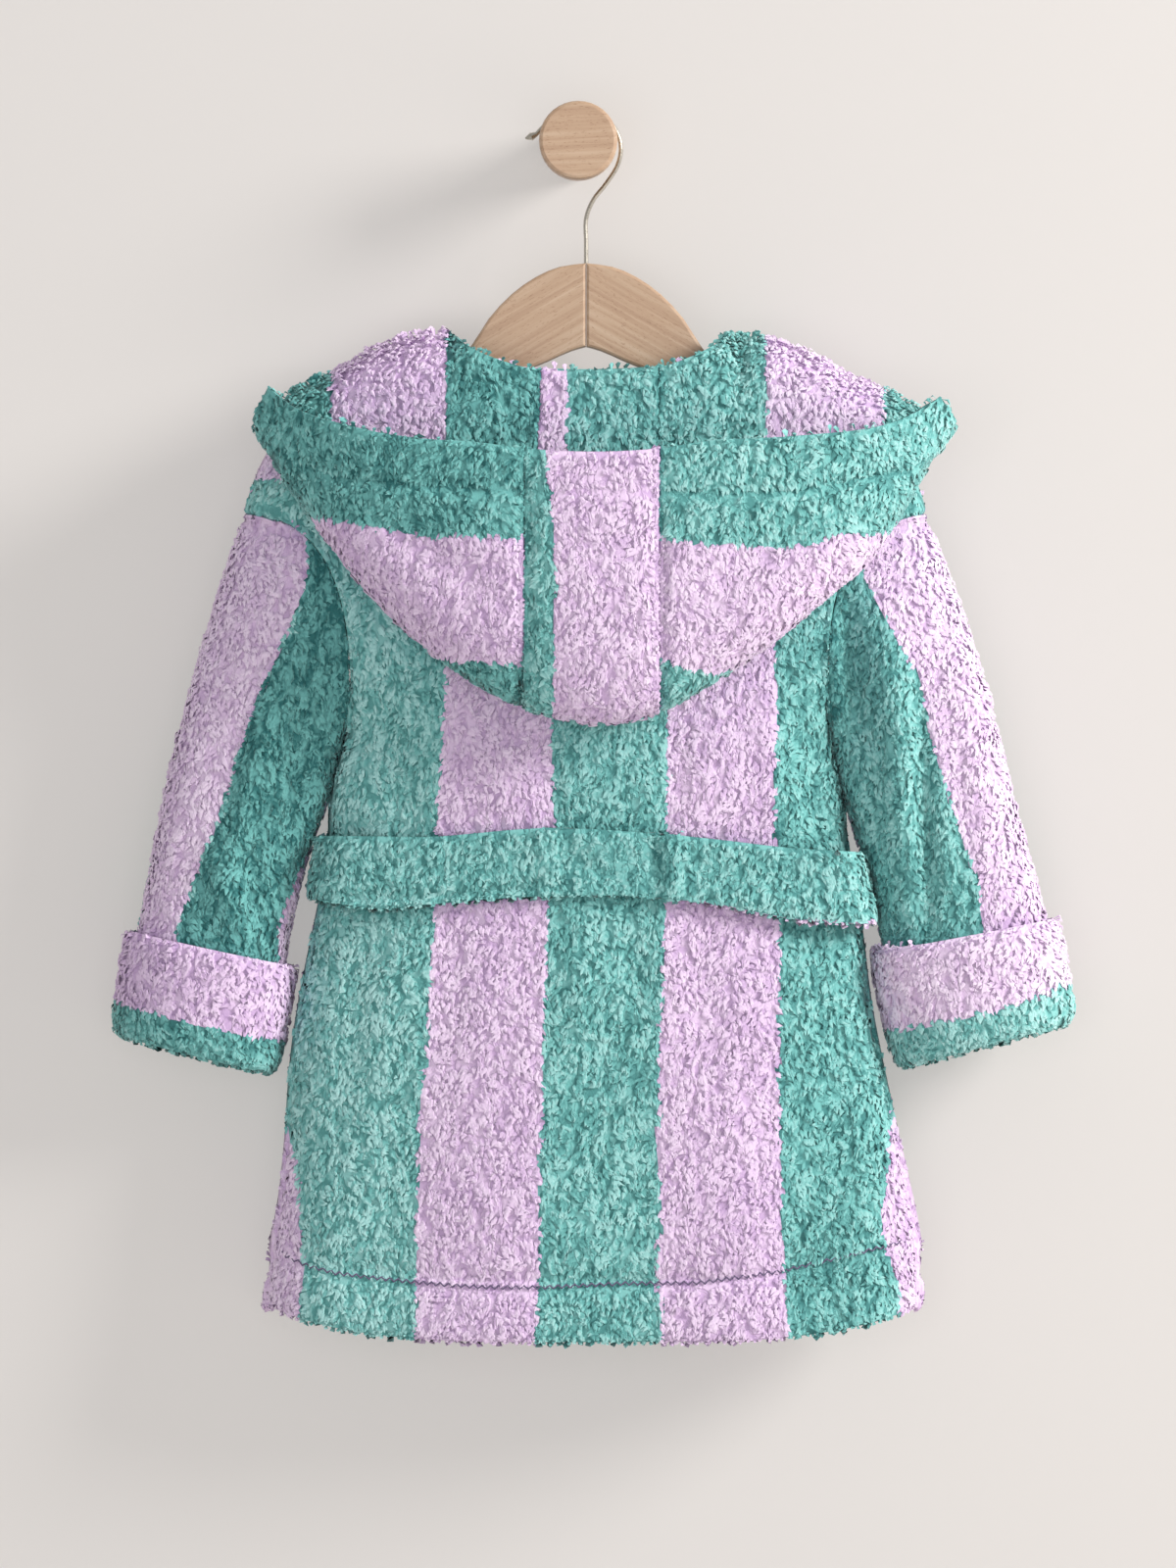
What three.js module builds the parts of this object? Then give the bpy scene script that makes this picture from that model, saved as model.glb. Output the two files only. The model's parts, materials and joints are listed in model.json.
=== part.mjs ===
// Child's hooded dressing gown in deep pile fleece. It hangs with its back outwards on a small wooden hanger,
// whose wire hook rests on a round wooden wall peg. Millimetres, +Z up, and the wall is the plane y = 0.
// The origin is the middle of the peg's face on the wall. The gown's back faces -Y, and its own left is -X.
// Every cloth panel is a wall: a grid of points in the middle of the cloth, moved out and in by half
// its thickness.

import * as THREE from "three";

const { lerp, clamp, smoothstep } = THREE.MathUtils;

// ---- Driving dimensions

const CLOTH = 7; // backing cloth with the pile on both of its faces
const HALF = CLOTH / 2;
const SEAM = 0.3; // between pieces that are sewn together
const CLEAR = 0.6; // between layers that only lie on each other
const HANG_Y = -44; // plane of the hanger, the hook, the shoulder seams and the side seams
const MIDDLE = 4; // x of the middle of the hanger and of the shoulders

const UNDERARM_Z = -338;
const HEM_STITCH_Z = -632; // hem stitching at the side seams
const HEM_Z = -671; // hem fold at the side seams
const HEM_SAG = 19; // the middle of the hem hangs lower than its sides
const SHOULDER_HALF = 195; // from the middle to the shoulder point
const SHOULDER_Z = -214;
const NECK_HALF = 78; // from the middle to the side of the neck
const BACK_ROLL = 24; // height over which the shoulder rounds from its seam to the flat back
const FRONT_ROLL = 13;
const OVAL = 2.7; // exponent of the body's section, 2 being an ellipse
const SLEEVE_OVAL = 2.3;
const FRONT_LAP = 46; // from the middle to the edge of a front that crosses over
const LAP_Z = -300; // where the neckline meets that edge
const LAP_REACH = 8;

const PEG = { neckRadius: 16, headRadius: 22.5, headFrom: -56, headTo: -71, edge: 2 };
const WIRE = 2.6;
const ARM_THICK = 10;
const BELT = { thick: 7, tailWidth: 38, tailLength: 203 };
const KNOT = { halfWidth: 24, halfDepth: 8, halfHeight: 24, z: -424, power: 0.7 };
const CUFF = { length: 67, overlap: 12 };

// ---- Tables. Outer sizes are the middle of the cloth, and z falls from the shoulders to the hem.

// Shoulder line: distance from the middle, and height.
const SHOULDER = [
  { out: 0, z: -95 },
  { out: 78, z: -119.5 },
  { out: 104, z: -131 },
  { out: 134, z: -145 },
  { out: 160, z: -158 },
  { out: 176, z: -171 },
  { out: 187, z: -188 },
  { out: SHOULDER_HALF, z: SHOULDER_Z },
];

// Back neckline: distance from the middle, and height.
const NECKLINE = [
  { out: 0, z: -129 },
  { out: 40, z: -127.5 },
  { out: 64, z: -124 },
  { out: NECK_HALF, z: -119.5 },
];

// Body sections: side seams, and how far back and front stand from the seam plane.
const BODY = [
  { z: -90, left: -208, right: 216, back: 18, front: 12 },
  { z: -160, left: -202, right: 210, back: 26, front: 14 },
  { z: SHOULDER_Z, left: -191.5, right: 199.5, back: 31, front: 15 },
  { z: -260, left: -172, right: 182, back: 33, front: 16 },
  { z: -300, left: -152, right: 164, back: 34, front: 16 },
  { z: UNDERARM_Z, left: -131.5, right: 144.5, back: 34, front: 16 },
  { z: -366, left: -137, right: 147, back: 34, front: 16 },
  { z: -391, left: -139.5, right: 150, back: 32, front: 15 },
  { z: -416, left: -143, right: 154, back: 29, front: 14 },
  { z: -446, left: -148.5, right: 160.5, back: 32, front: 15 },
  { z: -487, left: -157.5, right: 164.5, back: 36, front: 17 },
  { z: -533, left: -164.5, right: 174, back: 38, front: 19 },
  { z: -592, left: -167, right: 187, back: 40, front: 21 },
  { z: -626, left: -174, right: 194, back: 42, front: 22 },
  { z: -700, left: -183, right: 198, back: 44, front: 23 },
];

// Soft upright folds of the skirt: where each is at the belt and at the hem, how wide and how high.
const FOLDS = [
  { atBelt: -128, atHem: -150, width: 17, height: 3 },
  { atBelt: -92, atHem: -112, width: 20, height: -2.4 },
  { atBelt: -30, atHem: -44, width: 26, height: 2 },
  { atBelt: 28, atHem: 32, width: 24, height: -1.8 },
  { atBelt: 84, atHem: 98, width: 24, height: 2.2 },
  { atBelt: 122, atHem: 140, width: 18, height: -2.6 },
  { atBelt: 142, atHem: 168, width: 15, height: 2.4 },
];

// Sleeves: outer and inner edge of each ring, below the armhole.
const SLEEVE_LEFT = [
  { outX: -203, outZ: -250, inX: -143, inZ: -353 },
  { outX: -215, outZ: -290, inX: -147.5, inZ: -373 },
  { outX: -228, outZ: -340, inX: -157.5, inZ: -397 },
  { outX: -240.5, outZ: -392, inX: -163.5, inZ: -427 },
];
const SLEEVE_RIGHT = [
  { outX: 213, outZ: -252, inX: 154, inZ: -353 },
  { outX: 227, outZ: -292, inX: 157, inZ: -373 },
  { outX: 239.5, outZ: -338, inX: 167.2, inZ: -397 },
  { outX: 251.5, outZ: -388, inX: 172.5, inZ: -427 },
];
const SLEEVE_BACK = 24; // half depths of a sleeve
const SLEEVE_FRONT = 22;

// Cuffs: the middle line of the sleeve cloth at the cuff's upper edge and at its fold.
const CUFF_LEFT = [
  { outX: -251, outZ: -452, inX: -170.5, inZ: -470 },
  { outX: -262, outZ: -517, inX: -181.5, inZ: -538 },
];
const CUFF_RIGHT = [
  { outX: 267, outZ: -445, inX: 177.5, inZ: -462 },
  { outX: 280, outZ: -510, inX: 190, inZ: -534 },
];

// Section of a turned-back cuff: distance down from its upper edge, and out from the sleeve's middle line.
const CUFF_PROFILE = [
  { down: 0.5, out: 4.7 },
  { down: 0, out: 8 },
  { down: 2.5, out: 10.8 },
  { down: 14, out: 11.5 },
  { down: 34, out: 11.5 },
  { down: 52, out: 11.2 },
  { down: 61, out: 9.2 },
  { down: 66, out: 5 },
  { down: 67, out: 1 },
  { down: 63, out: -2.4 },
  { down: 52, out: -3.5 },
  { down: 30, out: -3.5 },
  { down: 12.6, out: -3.5 },
  { down: 12.6, out: 4.4 },
];

// Hood sections, from the gusset seam to the corner where the rim turns back over the shoulder:
// the rim of the near wall, the fold at the bag's edge, and the ridge or neck seam of the far wall.
const HOOD_LEFT = [
  { rimX: -30, rimZ: -177, foldX: -30, foldZ: -327, topX: -21, topZ: -130 },
  { rimX: -59, rimZ: -173, foldX: -65, foldZ: -308, topX: -45, topZ: -124 },
  { rimX: -80, rimZ: -172, foldX: -93, foldZ: -286, topX: -62, topZ: -117 },
  { rimX: -106, rimZ: -169, foldX: -115, foldZ: -264, topX: -77, topZ: -111 },
  { rimX: -118, rimZ: -166.5, foldX: -125, foldZ: -252, topX: -86, topZ: -111 },
  { rimX: -128, rimZ: -164, foldX: -134, foldZ: -240, topX: -95, topZ: -112 },
  { rimX: -146, rimZ: -159, foldX: -149, foldZ: -220, topX: -115, topZ: -118.5 },
  { rimX: -162, rimZ: -152, foldX: -168, foldZ: -193, topX: -137, topZ: -132 },
  { rimX: -177, rimZ: -139, foldX: -187.5, foldZ: -159, topX: -164, topZ: -143 },
];
const HOOD_RIGHT = [
  { rimX: 46, rimZ: -177, foldX: 45, foldZ: -330, topX: 46.5, topZ: -128 },
  { rimX: 77, rimZ: -172, foldX: 82, foldZ: -308, topX: 64, topZ: -122 },
  { rimX: 107, rimZ: -171, foldX: 113, foldZ: -287, topX: 81, topZ: -114 },
  { rimX: 132, rimZ: -169, foldX: 136, foldZ: -267, topX: 93, topZ: -112 },
  { rimX: 143, rimZ: -168, foldX: 147, foldZ: -258, topX: 106, topZ: -112.5 },
  { rimX: 153, rimZ: -167, foldX: 158, foldZ: -249, topX: 118, topZ: -116 },
  { rimX: 174, rimZ: -163, foldX: 177, foldZ: -225, topX: 139, topZ: -126 },
  { rimX: 190, rimZ: -156, foldX: 195.5, foldZ: -191, topX: 162, topZ: -139 },
  { rimX: 207, rimZ: -146, foldX: 218, foldZ: -160, topX: 184, topZ: -147 },
];
const HOOD_CENTRE = { rimX: 8, rimZ: -179, foldX: 7, foldZ: -336, topX: 13, topZ: -129.5 };

// Depths of those sections, in the same order: y of the rim, of the near wall's belly and of the fold.
const HOOD_DEPTH = [
  { rim: -134, belly: -136, fold: -104 },
  { rim: -133, belly: -135, fold: -103 },
  { rim: -131, belly: -132, fold: -101 },
  { rim: -128, belly: -128, fold: -98 },
  { rim: -126, belly: -125, fold: -96.5 },
  { rim: -123, belly: -122, fold: -95 },
  { rim: -116, belly: -115, fold: -91 },
  { rim: -107, belly: -106, fold: -87 },
  { rim: -97, belly: -95, fold: -82 },
];

// Where each section ends along the neckline, from the gusset seam to the foot of the front lapel,
// and the share of its far wall at which the ridge begins: 1 where it goes over the shoulder.
const HOOD_ENDS = [
  { out: 25, z: -130, ridgeAt: 0.74 },
  { out: 49, z: -124, ridgeAt: 0.8 },
  { out: 66, z: -117.5, ridgeAt: 0.88 },
  { out: 77.5, z: -110, ridgeAt: 1 },
  { out: 76, z: -118, ridgeAt: 1 },
  { out: 71, z: -134, ridgeAt: 1 },
  { out: 57, z: -160, ridgeAt: 1 },
  { out: 40, z: -186, ridgeAt: 1 },
  { out: 20, z: -213, ridgeAt: 1 },
];

// Belt across the back: height of its upper and lower edge.
const BELT_EDGES = [
  { x: -160, top: -396, bottom: -432 },
  { x: -113, top: -396, bottom: -443 },
  { x: -84, top: -396.5, bottom: -441 },
  { x: -56, top: -394, bottom: -438 },
  { x: -23, top: -391, bottom: -436 },
  { x: 17, top: -392, bottom: -435 },
  { x: 48, top: -395, bottom: -437 },
  { x: 74, top: -397, bottom: -440 },
  { x: 114, top: -402, bottom: -449 },
  { x: 156, top: -406, bottom: -452 },
  { x: 176, top: -412, bottom: -449 },
];

// How far the belt stands off the body on its way round, by angle from the left side seam over the back.
const BELT_SLACK = [
  { angle: -1.6, off: 0 },
  { angle: -0.5, off: 0.5 },
  { angle: -0.1, off: 0 },
  { angle: 0.1, off: 2 },
  { angle: 0.36, off: 8 },
  { angle: 0.75, off: 3 },
  { angle: 1.3, off: 0.4 },
  { angle: 1.85, off: 0.4 },
  { angle: 2.4, off: 4 },
  { angle: 2.8, off: 12 },
  { angle: 3.06, off: 1.6 },
  { angle: 3.3, off: 0 },
  { angle: 4.8, off: 0 },
];

// Hanger: half outline of its middle and one arm, by distance from the middle.
const HANGER_TOP = [
  { out: 0, z: -69 },
  { out: 15, z: -71 },
  { out: 29, z: -77 },
  { out: 43, z: -87 },
  { out: 56, z: -101 },
  { out: 67, z: -118 },
  { out: 80, z: -130 },
  { out: 105, z: -142 },
  { out: 135, z: -155 },
  { out: 157, z: -166 },
];
const HANGER_UNDER = [
  { out: 164, z: -171 },
  { out: 161, z: -179 },
  { out: 150, z: -178 },
  { out: 110, z: -161 },
  { out: 60, z: -140 },
  { out: 28, z: -128 },
  { out: 10, z: -120 },
  { out: 0, z: -117 },
];

// Hook: the wire's middle line from inside the hanger to its ball.
const HOOK_PATH = [
  { x: 4.5, z: -68.7 },
  { x: 4.5, z: -56 },
  { x: 4.5, z: -43 },
  { x: 8.5, z: -32.5 },
  { x: 16, z: -23 },
  { x: 23, z: -11.5 },
  { x: 24.5, z: 0 },
  { x: 20, z: 10.5 },
  { x: 11, z: 16 },
  { x: 0, z: 17.6 },
  { x: -11, z: 16 },
  { x: -19.5, z: 10.8 },
  { x: -24.5, z: 5.5 },
  { x: -30.5, z: 3.2 },
];
const HOOK_BALL = 2.6;
const TIP_FLAT = 0.6; // smallest radius of the ball's end

// ---- Reading the tables

// Smooth value of one column where another column has the given value.
function read(rows, key, at, column) {
  const last = rows.length - 1;
  const rising = rows[last][key] > rows[0][key];
  let i = 1;
  while (i < last && (rising ? rows[i][key] < at : rows[i][key] > at)) i++;
  const [a, b] = [rows[i - 1], rows[i]];
  const before = rows[Math.max(i - 2, 0)];
  const after = rows[Math.min(i + 1, last)];
  const step = b[key] - a[key];
  const slope = (p, q) => ((q[column] - p[column]) / (q[key] - p[key])) * step;
  const t = clamp((at - a[key]) / step, 0, 1);
  const [start, end] = [slope(before, b), slope(a, after)];
  const bend = (1 - t) * start - t * end + (2 * t - 1) * (b[column] - a[column]);
  return lerp(a[column], b[column], t) + t * (1 - t) * bend;
}

const ridgeZ = (x) => read(SHOULDER, "out", Math.abs(x - MIDDLE), "z");
const neckZ = (x) => read(NECKLINE, "out", Math.abs(x - MIDDLE), "z");

// ---- The body's form: how far back or front stands from the seam plane at a place on it

function foldHeight(x, z) {
  const down = clamp((z - (-446)) / (HEM_Z + 446), 0, 1);
  const grown = smoothstep(down, 0.05, 0.7);
  return FOLDS.reduce((sum, f) => {
    const away = (x - lerp(f.atBelt, f.atHem, down)) / f.width;
    return sum + grown * f.height * Math.exp(-away * away);
  }, 0);
}

function hemSwell(x, z) {
  const stitch = HEM_STITCH_Z - HEM_SAG * hemDrop(x);
  const groove = Math.exp(-(((z - stitch) / 5) ** 2));
  return 2.4 * smoothstep(stitch - z, 0, 12) - 2.6 * groove;
}

function hemDrop(x) {
  const left = read(BODY, "z", HEM_Z, "left");
  const right = read(BODY, "z", HEM_Z, "right");
  const across = (x - (left + right) / 2) / ((right - left) / 2);
  return 1 - clamp(Math.abs(across), 0, 1) ** 4;
}

// Share of the full depth at x, from 0 at a side seam to 1 in the middle.
function section(x, z) {
  const left = read(BODY, "z", z, "left");
  const right = read(BODY, "z", z, "right");
  const across = clamp(Math.abs(x - (left + right) / 2) / ((right - left) / 2), 0, 1);
  return (1 - across ** OVAL) ** (1 / OVAL);
}

const rolled = (drop, height) => Math.sqrt(1 - (1 - clamp(drop / height, 0, 1)) ** 2);

function fullBackDepth(x, z) {
  const relief = foldHeight(x, z) + hemSwell(x, z);
  return (read(BODY, "z", z, "back") + relief) * section(x, z);
}

// The right front lies over the left one, so it stands further out where they cross.
// What lies on it comes down beside the crossing a little later, by the given reach.
function fullFrontDepth(x, z, over = false, reach = 0) {
  const away = x - MIDDLE - FRONT_LAP;
  const lap = over ? (CLOTH + CLEAR) * (1 - smoothstep(away, 18 + reach, 34 + 3 * reach)) : 0;
  return (read(BODY, "z", z, "front") + 0.8 * hemSwell(x, z)) * section(x, z) + lap;
}

const backDepth = (x, z) => fullBackDepth(x, z) * rolled(ridgeZ(x) - z, BACK_ROLL);
const frontDepth = (x, z, over, reach) => {
  return fullFrontDepth(x, z, over, reach) * rolled(ridgeZ(x) - z, FRONT_ROLL);
};

// ---- Making solids

const point = (x, y, z) => new THREE.Vector3(x, y, z);

function solid(corners, faces) {
  const position = new Float32Array(corners.flatMap((c) => c.toArray()));
  const whole = faces.filter(([a, b, c]) => {
    const [p, q, r] = [corners[a], corners[b], corners[c]];
    return p.distanceTo(q) > 1e-3 && q.distanceTo(r) > 1e-3 && r.distanceTo(p) > 1e-3;
  });
  const volume = whole.reduce((sum, [a, b, c]) => {
    return sum + corners[a].dot(point(0, 0, 0).crossVectors(corners[b], corners[c]));
  }, 0);
  const turned = volume < 0 ? whole.map(([a, b, c]) => [a, c, b]) : whole;
  const geometry = new THREE.BufferGeometry();
  geometry.setAttribute("position", new THREE.BufferAttribute(position, 3));
  geometry.setIndex(turned.flat());
  geometry.computeVertexNormals();
  return geometry;
}

// Normals of a grid of points, rows first.
function gridNormals(grid, closed = false) {
  const [rows, columns] = [grid.length, grid[0].length];
  return grid.map((row, i) =>
    row.map((_, j) => {
      const down = grid[Math.min(i + 1, rows - 1)][j].clone().sub(grid[Math.max(i - 1, 0)][j]);
      const next = closed ? (j + 1) % columns : Math.min(j + 1, columns - 1);
      const last = closed ? (j + columns - 1) % columns : Math.max(j - 1, 0);
      const along = row[next].clone().sub(row[last]);
      return along.cross(down).normalize();
    }),
  );
}

// A wall from a grid in its middle: two skins joined along its edges.
function wall(grid, normals, half = HALF, closed = false) {
  const [rows, columns] = [grid.length, grid[0].length];
  const moved = (by) => (row, i) => row.map((p, j) => p.clone().addScaledVector(normals[i][j], by));
  const skin = (by) => grid.flatMap(moved(by));
  const corners = [...skin(half), ...skin(-half)];
  const at = (side, i, j) => side * rows * columns + i * columns + (j % columns);
  const faces = [];
  const quad = (a, b, c, d) => faces.push([a, b, c], [a, c, d]);
  const spans = closed ? columns : columns - 1;
  for (let j = 0; j < spans; j++) {
    for (let i = 0; i < rows - 1; i++) {
      quad(at(0, i, j), at(0, i + 1, j), at(0, i + 1, j + 1), at(0, i, j + 1));
      quad(at(1, i, j), at(1, i, j + 1), at(1, i + 1, j + 1), at(1, i + 1, j));
    }
    quad(at(0, 0, j), at(0, 0, j + 1), at(1, 0, j + 1), at(1, 0, j));
    const end = rows - 1;
    quad(at(0, end, j), at(1, end, j), at(1, end, j + 1), at(0, end, j + 1));
  }
  for (let i = 0; i < rows - 1 && !closed; i++) {
    quad(at(0, i, 0), at(1, i, 0), at(1, i + 1, 0), at(0, i + 1, 0));
    const end = columns - 1;
    quad(at(0, i, end), at(0, i + 1, end), at(1, i + 1, end), at(1, i, end));
  }
  return solid(corners, faces);
}

// A ring of one closed section carried round a closed path: rows are places on the path, columns the section.
function loop(grid) {
  const [rows, columns] = [grid.length, grid[0].length];
  const at = (i, j) => (i % rows) * columns + (j % columns);
  const faces = [];
  for (let i = 0; i < rows; i++) {
    for (let j = 0; j < columns; j++) {
      faces.push([at(i, j), at(i + 1, j), at(i + 1, j + 1)], [at(i, j), at(i + 1, j + 1), at(i, j + 1)]);
    }
  }
  return solid(grid.flat(), faces);
}

// Smooth lines through a few sections, with the same number of places on each.
function refined(sections, places) {
  return sections[0].map((_, j) => new THREE.CatmullRomCurve3(sections.map((s) => s[j])).getPoints(places));
}

// ---- Materials

const fleece = (color) => new THREE.MeshStandardMaterial({ color, roughness: 1, metalness: 0 });
const TEAL = fleece("#62ad9f");
const LILAC = fleece("#cfb2d8");
const BEECH = new THREE.MeshStandardMaterial({ color: "#dcb888", roughness: 0.55, metalness: 0 });
const NICKEL = new THREE.MeshStandardMaterial({ color: "#b9b5ac", roughness: 0.3, metalness: 1 });

const gown = new THREE.Group();

function add(name, geometry, material) {
  const mesh = new THREE.Mesh(geometry, material);
  mesh.name = name;
  gown.add(mesh);
}

// ---- Body panels

// Columns of a panel by their share of its half width, closer together at the side and in the neck's place.
const OUTER_SHARES = [1, 0.985, 0.95, 0.89, 0.81, 0.71, 0.6, 0.5];
const NECK_SHARE = NECK_HALF / SHOULDER_HALF;
const BACK_SHARES = [
  ...OUTER_SHARES.map((s) => -s),
  ...[-1, -0.66, -0.33, 0, 0.33, 0.66, 1].map((s) => s * NECK_SHARE),
  ...[...OUTER_SHARES].reverse(),
];
const ARM_STEPS = 10; // rows from the shoulder point to the underarm
const ARM_BULGE = { x: 20, z: 30 }; // how far the armhole curves in from a straight line
const LOWER_ROWS = [
  -354, -374, -394, -416, -438, -462, -492, -528, -568, -606, -626, HEM_STITCH_Z, -638, -656, HEM_Z,
];

const sideX = (side, z) => read(BODY, "z", z, side < 0 ? "left" : "right");

// A place in a panel's upper part: under its top edge point, a share of the way to the underarm row.
function upperPlace(topX, topZ, share, step) {
  const angle = (Math.PI * step) / ARM_STEPS;
  const t = (1 - Math.cos(angle)) / 2;
  const [left, right] = [sideX(-1, UNDERARM_Z), sideX(1, UNDERARM_Z)];
  const underX = (left + right) / 2 + (share * (right - left)) / 2;
  const pull = Math.abs(share) ** 3 * Math.sin(angle) ** 2;
  const x = lerp(topX, underX, t) - Math.sign(share) * ARM_BULGE.x * pull;
  const z = lerp(topZ, UNDERARM_Z, t) + ARM_BULGE.z * pull;
  return { x, z };
}

function lowerPlace(share, rowZ, edgeX = null) {
  const [left, right] = [sideX(-1, rowZ), sideX(1, rowZ)];
  const x = edgeX ?? (left + right) / 2 + (share * (right - left)) / 2;
  const z = rowZ - HEM_SAG * hemDrop(x) * smoothstep(-rowZ, 440, -HEM_STITCH_Z);
  return { x, z };
}

// Direction through the cloth along an armhole: up at the shoulder point, out at the sides,
// down at the underarm.
function armholeNormal(side, step, out) {
  const angle = (Math.PI * step) / ARM_STEPS;
  const along = Math.cos(angle);
  const top = Math.max(along, 0);
  return point(side * 0.5 * top, out * Math.sin(angle), 0.87 * top + Math.min(along, 0)).normalize();
}

// The seams' own normals, shared by the pieces on both sides of each seam.
function matchSeams(normals, side, column, out) {
  normals.forEach((row, i) => {
    row[column] = i <= ARM_STEPS ? armholeNormal(side, i, out) : point(side, 0, 0);
  });
}

function backPanel() {
  const places = [];
  for (let step = 0; step <= ARM_STEPS; step++) {
    places.push(
      BACK_SHARES.map((share) => {
        const x = MIDDLE + SHOULDER_HALF * share;
        return upperPlace(x, Math.abs(share) <= NECK_SHARE ? neckZ(x) : ridgeZ(x), share, step);
      }),
    );
  }
  LOWER_ROWS.forEach((z) => places.push(BACK_SHARES.map((share) => lowerPlace(share, z))));
  const grid = places.map((row) =>
    row.map(({ x, z }) => point(x, HANG_Y - Math.max(backDepth(x, z), SEAM / 2), z)),
  );
  const normals = gridNormals(grid);
  matchSeams(normals, -1, 0, -1);
  matchSeams(normals, 1, BACK_SHARES.length - 1, -1);
  BACK_SHARES.forEach((share, j) => {
    const lean = Math.sign(share) * smoothstep(Math.abs(share), 0.7, 1) * 0.5;
    if (Math.abs(share) >= NECK_SHARE - 1e-6) normals[0][j] = point(lean, 0, 0.87).normalize();
  });
  return wall(grid, normals);
}

// A front runs from its side seam to the edge that crosses over, under its shoulder and the
// slanting neckline.
const FRONT_OUTER = [1, 0.985, 0.94, 0.86, 0.74, 0.6, 0.49, NECK_SHARE];
const FRONT_INNER = [0.04, 0.1, 0.22, 0.44, 0.7, 1];

function frontPanel(side, over) {
  const edgeX = MIDDLE - side * FRONT_LAP;
  const places = [];
  const neckTop = ridgeZ(MIDDLE + NECK_HALF);
  const slant = (t) => ({ x: lerp(MIDDLE + side * NECK_HALF, edgeX, t), z: lerp(neckTop, LAP_Z, t) });
  for (let step = 0; step <= ARM_STEPS; step++) {
    const outer = FRONT_OUTER.map((s) => {
      const x = MIDDLE + side * SHOULDER_HALF * s;
      return upperPlace(x, ridgeZ(x), side * s, step);
    });
    const t = (1 - Math.cos((Math.PI * step) / ARM_STEPS)) / 2;
    const startX = outer[outer.length - 1].x;
    const inner = FRONT_INNER.map((s) => {
      const top = slant(s);
      return { x: lerp(top.x, lerp(startX, edgeX, s), t), z: lerp(top.z, UNDERARM_Z, t) };
    });
    places.push([...outer, ...inner]);
  }
  LOWER_ROWS.forEach((z) => {
    const outer = FRONT_OUTER.map((s) => lowerPlace(side * s, z));
    const startX = outer[outer.length - 1].x;
    places.push([...outer, ...FRONT_INNER.map((s) => lowerPlace(0, z, lerp(startX, edgeX, s)))]);
  });
  const grid = places.map((row) =>
    row.map(({ x, z }) => point(x, HANG_Y + Math.max(frontDepth(x, z, over), SEAM / 2), z)),
  );
  const normals = gridNormals(grid);
  matchSeams(normals, side, 0, 1);
  FRONT_OUTER.forEach((s, j) => {
    normals[0][j] = point(side * smoothstep(s, 0.7, 1) * 0.5, 0, 0.87).normalize();
  });
  normals.forEach((row) => row.forEach((n) => n.y < -0.05 && n.negate()));
  return wall(grid, normals);
}

// ---- Sleeves and cuffs

const RING_STEPS = 2 * ARM_STEPS;
const ARMPIT_GAP = 2.6; // the sleeve stands clear of the side seam under the arm

// A point of an oval ring between its outer and inner edge, over the back first.
function ringPoint(ring, j) {
  const angle = (2 * Math.PI * j) / RING_STEPS;
  const round = (v) => Math.sign(v) * Math.abs(v) ** (2 / SLEEVE_OVAL);
  const across = (1 - round(Math.cos(angle))) / 2;
  const depth = Math.sin(angle) > 0 ? -SLEEVE_BACK : SLEEVE_FRONT;
  const y = HANG_Y + depth * Math.abs(round(Math.sin(angle)));
  return point(lerp(ring.outX, ring.inX, across), y, lerp(ring.outZ, ring.inZ, across));
}

function armholeRing(side) {
  const ring = [];
  for (let j = 0; j < RING_STEPS; j++) {
    const step = j <= ARM_STEPS ? j : RING_STEPS - j;
    const { x, z } = upperPlace(MIDDLE + side * SHOULDER_HALF, SHOULDER_Z, side, step);
    const depth = j <= ARM_STEPS ? -backDepth(x, z) : frontDepth(x, z);
    const apart = SEAM + ARMPIT_GAP * (step / ARM_STEPS) ** 4;
    ring.push(point(x + side * apart, HANG_Y + depth, z - apart * 0.6));
  }
  return ring;
}

const mixRings = (a, b, t) => Object.fromEntries(Object.keys(a).map((k) => [k, lerp(a[k], b[k], t)]));

// A sleeve ends inside its cuff, and follows the cuff's own line there.
function sleeve(side, table, [cuffTop, cuffFold]) {
  const inCuff = [-6, 3, CUFF.overlap].map((down) => mixRings(cuffTop, cuffFold, down / CUFF.length));
  const around = (r) => Array.from({ length: RING_STEPS }, (_, j) => ringPoint(r, j));
  const rings = [...table, ...inCuff].map(around);
  const lines = refined([armholeRing(side), ...rings], 11);
  const grid = lines[0].map((_, i) => lines.map((line) => line[i]));
  const normals = gridNormals(grid, true);
  const middle = (row) => row.reduce((sum, p) => sum.add(p), point(0, 0, 0)).divideScalar(row.length);
  normals.forEach((row, i) => {
    const centre = middle(grid[i]);
    row.forEach((n, j) => n.dot(grid[i][j].clone().sub(centre)) < 0 && n.negate());
  });
  normals[0] = normals[0].map((_, j) => {
    const step = j <= ARM_STEPS ? j : RING_STEPS - j;
    return armholeNormal(side, step, j <= ARM_STEPS ? -1 : 1);
  });
  return wall(grid, normals, HALF, true);
}

function cuff(table) {
  const [top, fold] = table;
  const grid = [];
  for (let j = 0; j < RING_STEPS; j++) {
    const centre = (ring) => point((ring.outX + ring.inX) / 2, HANG_Y, (ring.outZ + ring.inZ) / 2);
    grid.push(
      CUFF_PROFILE.map(({ down, out }) => {
        const ring = mixRings(top, fold, down / CUFF.length);
        const p = ringPoint(ring, j);
        const next = ringPoint(ring, j + 1);
        const last = ringPoint(ring, j + RING_STEPS - 1);
        const axis = centre(fold).sub(centre(top));
        const n = next.sub(last).cross(axis).normalize();
        if (n.dot(p.clone().sub(centre(ring))) < 0) n.negate();
        return p.addScaledVector(n, out);
      }),
    );
  }
  return loop(grid);
}

// ---- Hood: one bag in three panels, whose far wall goes up to the neck and over the shoulders as lapels

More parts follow.
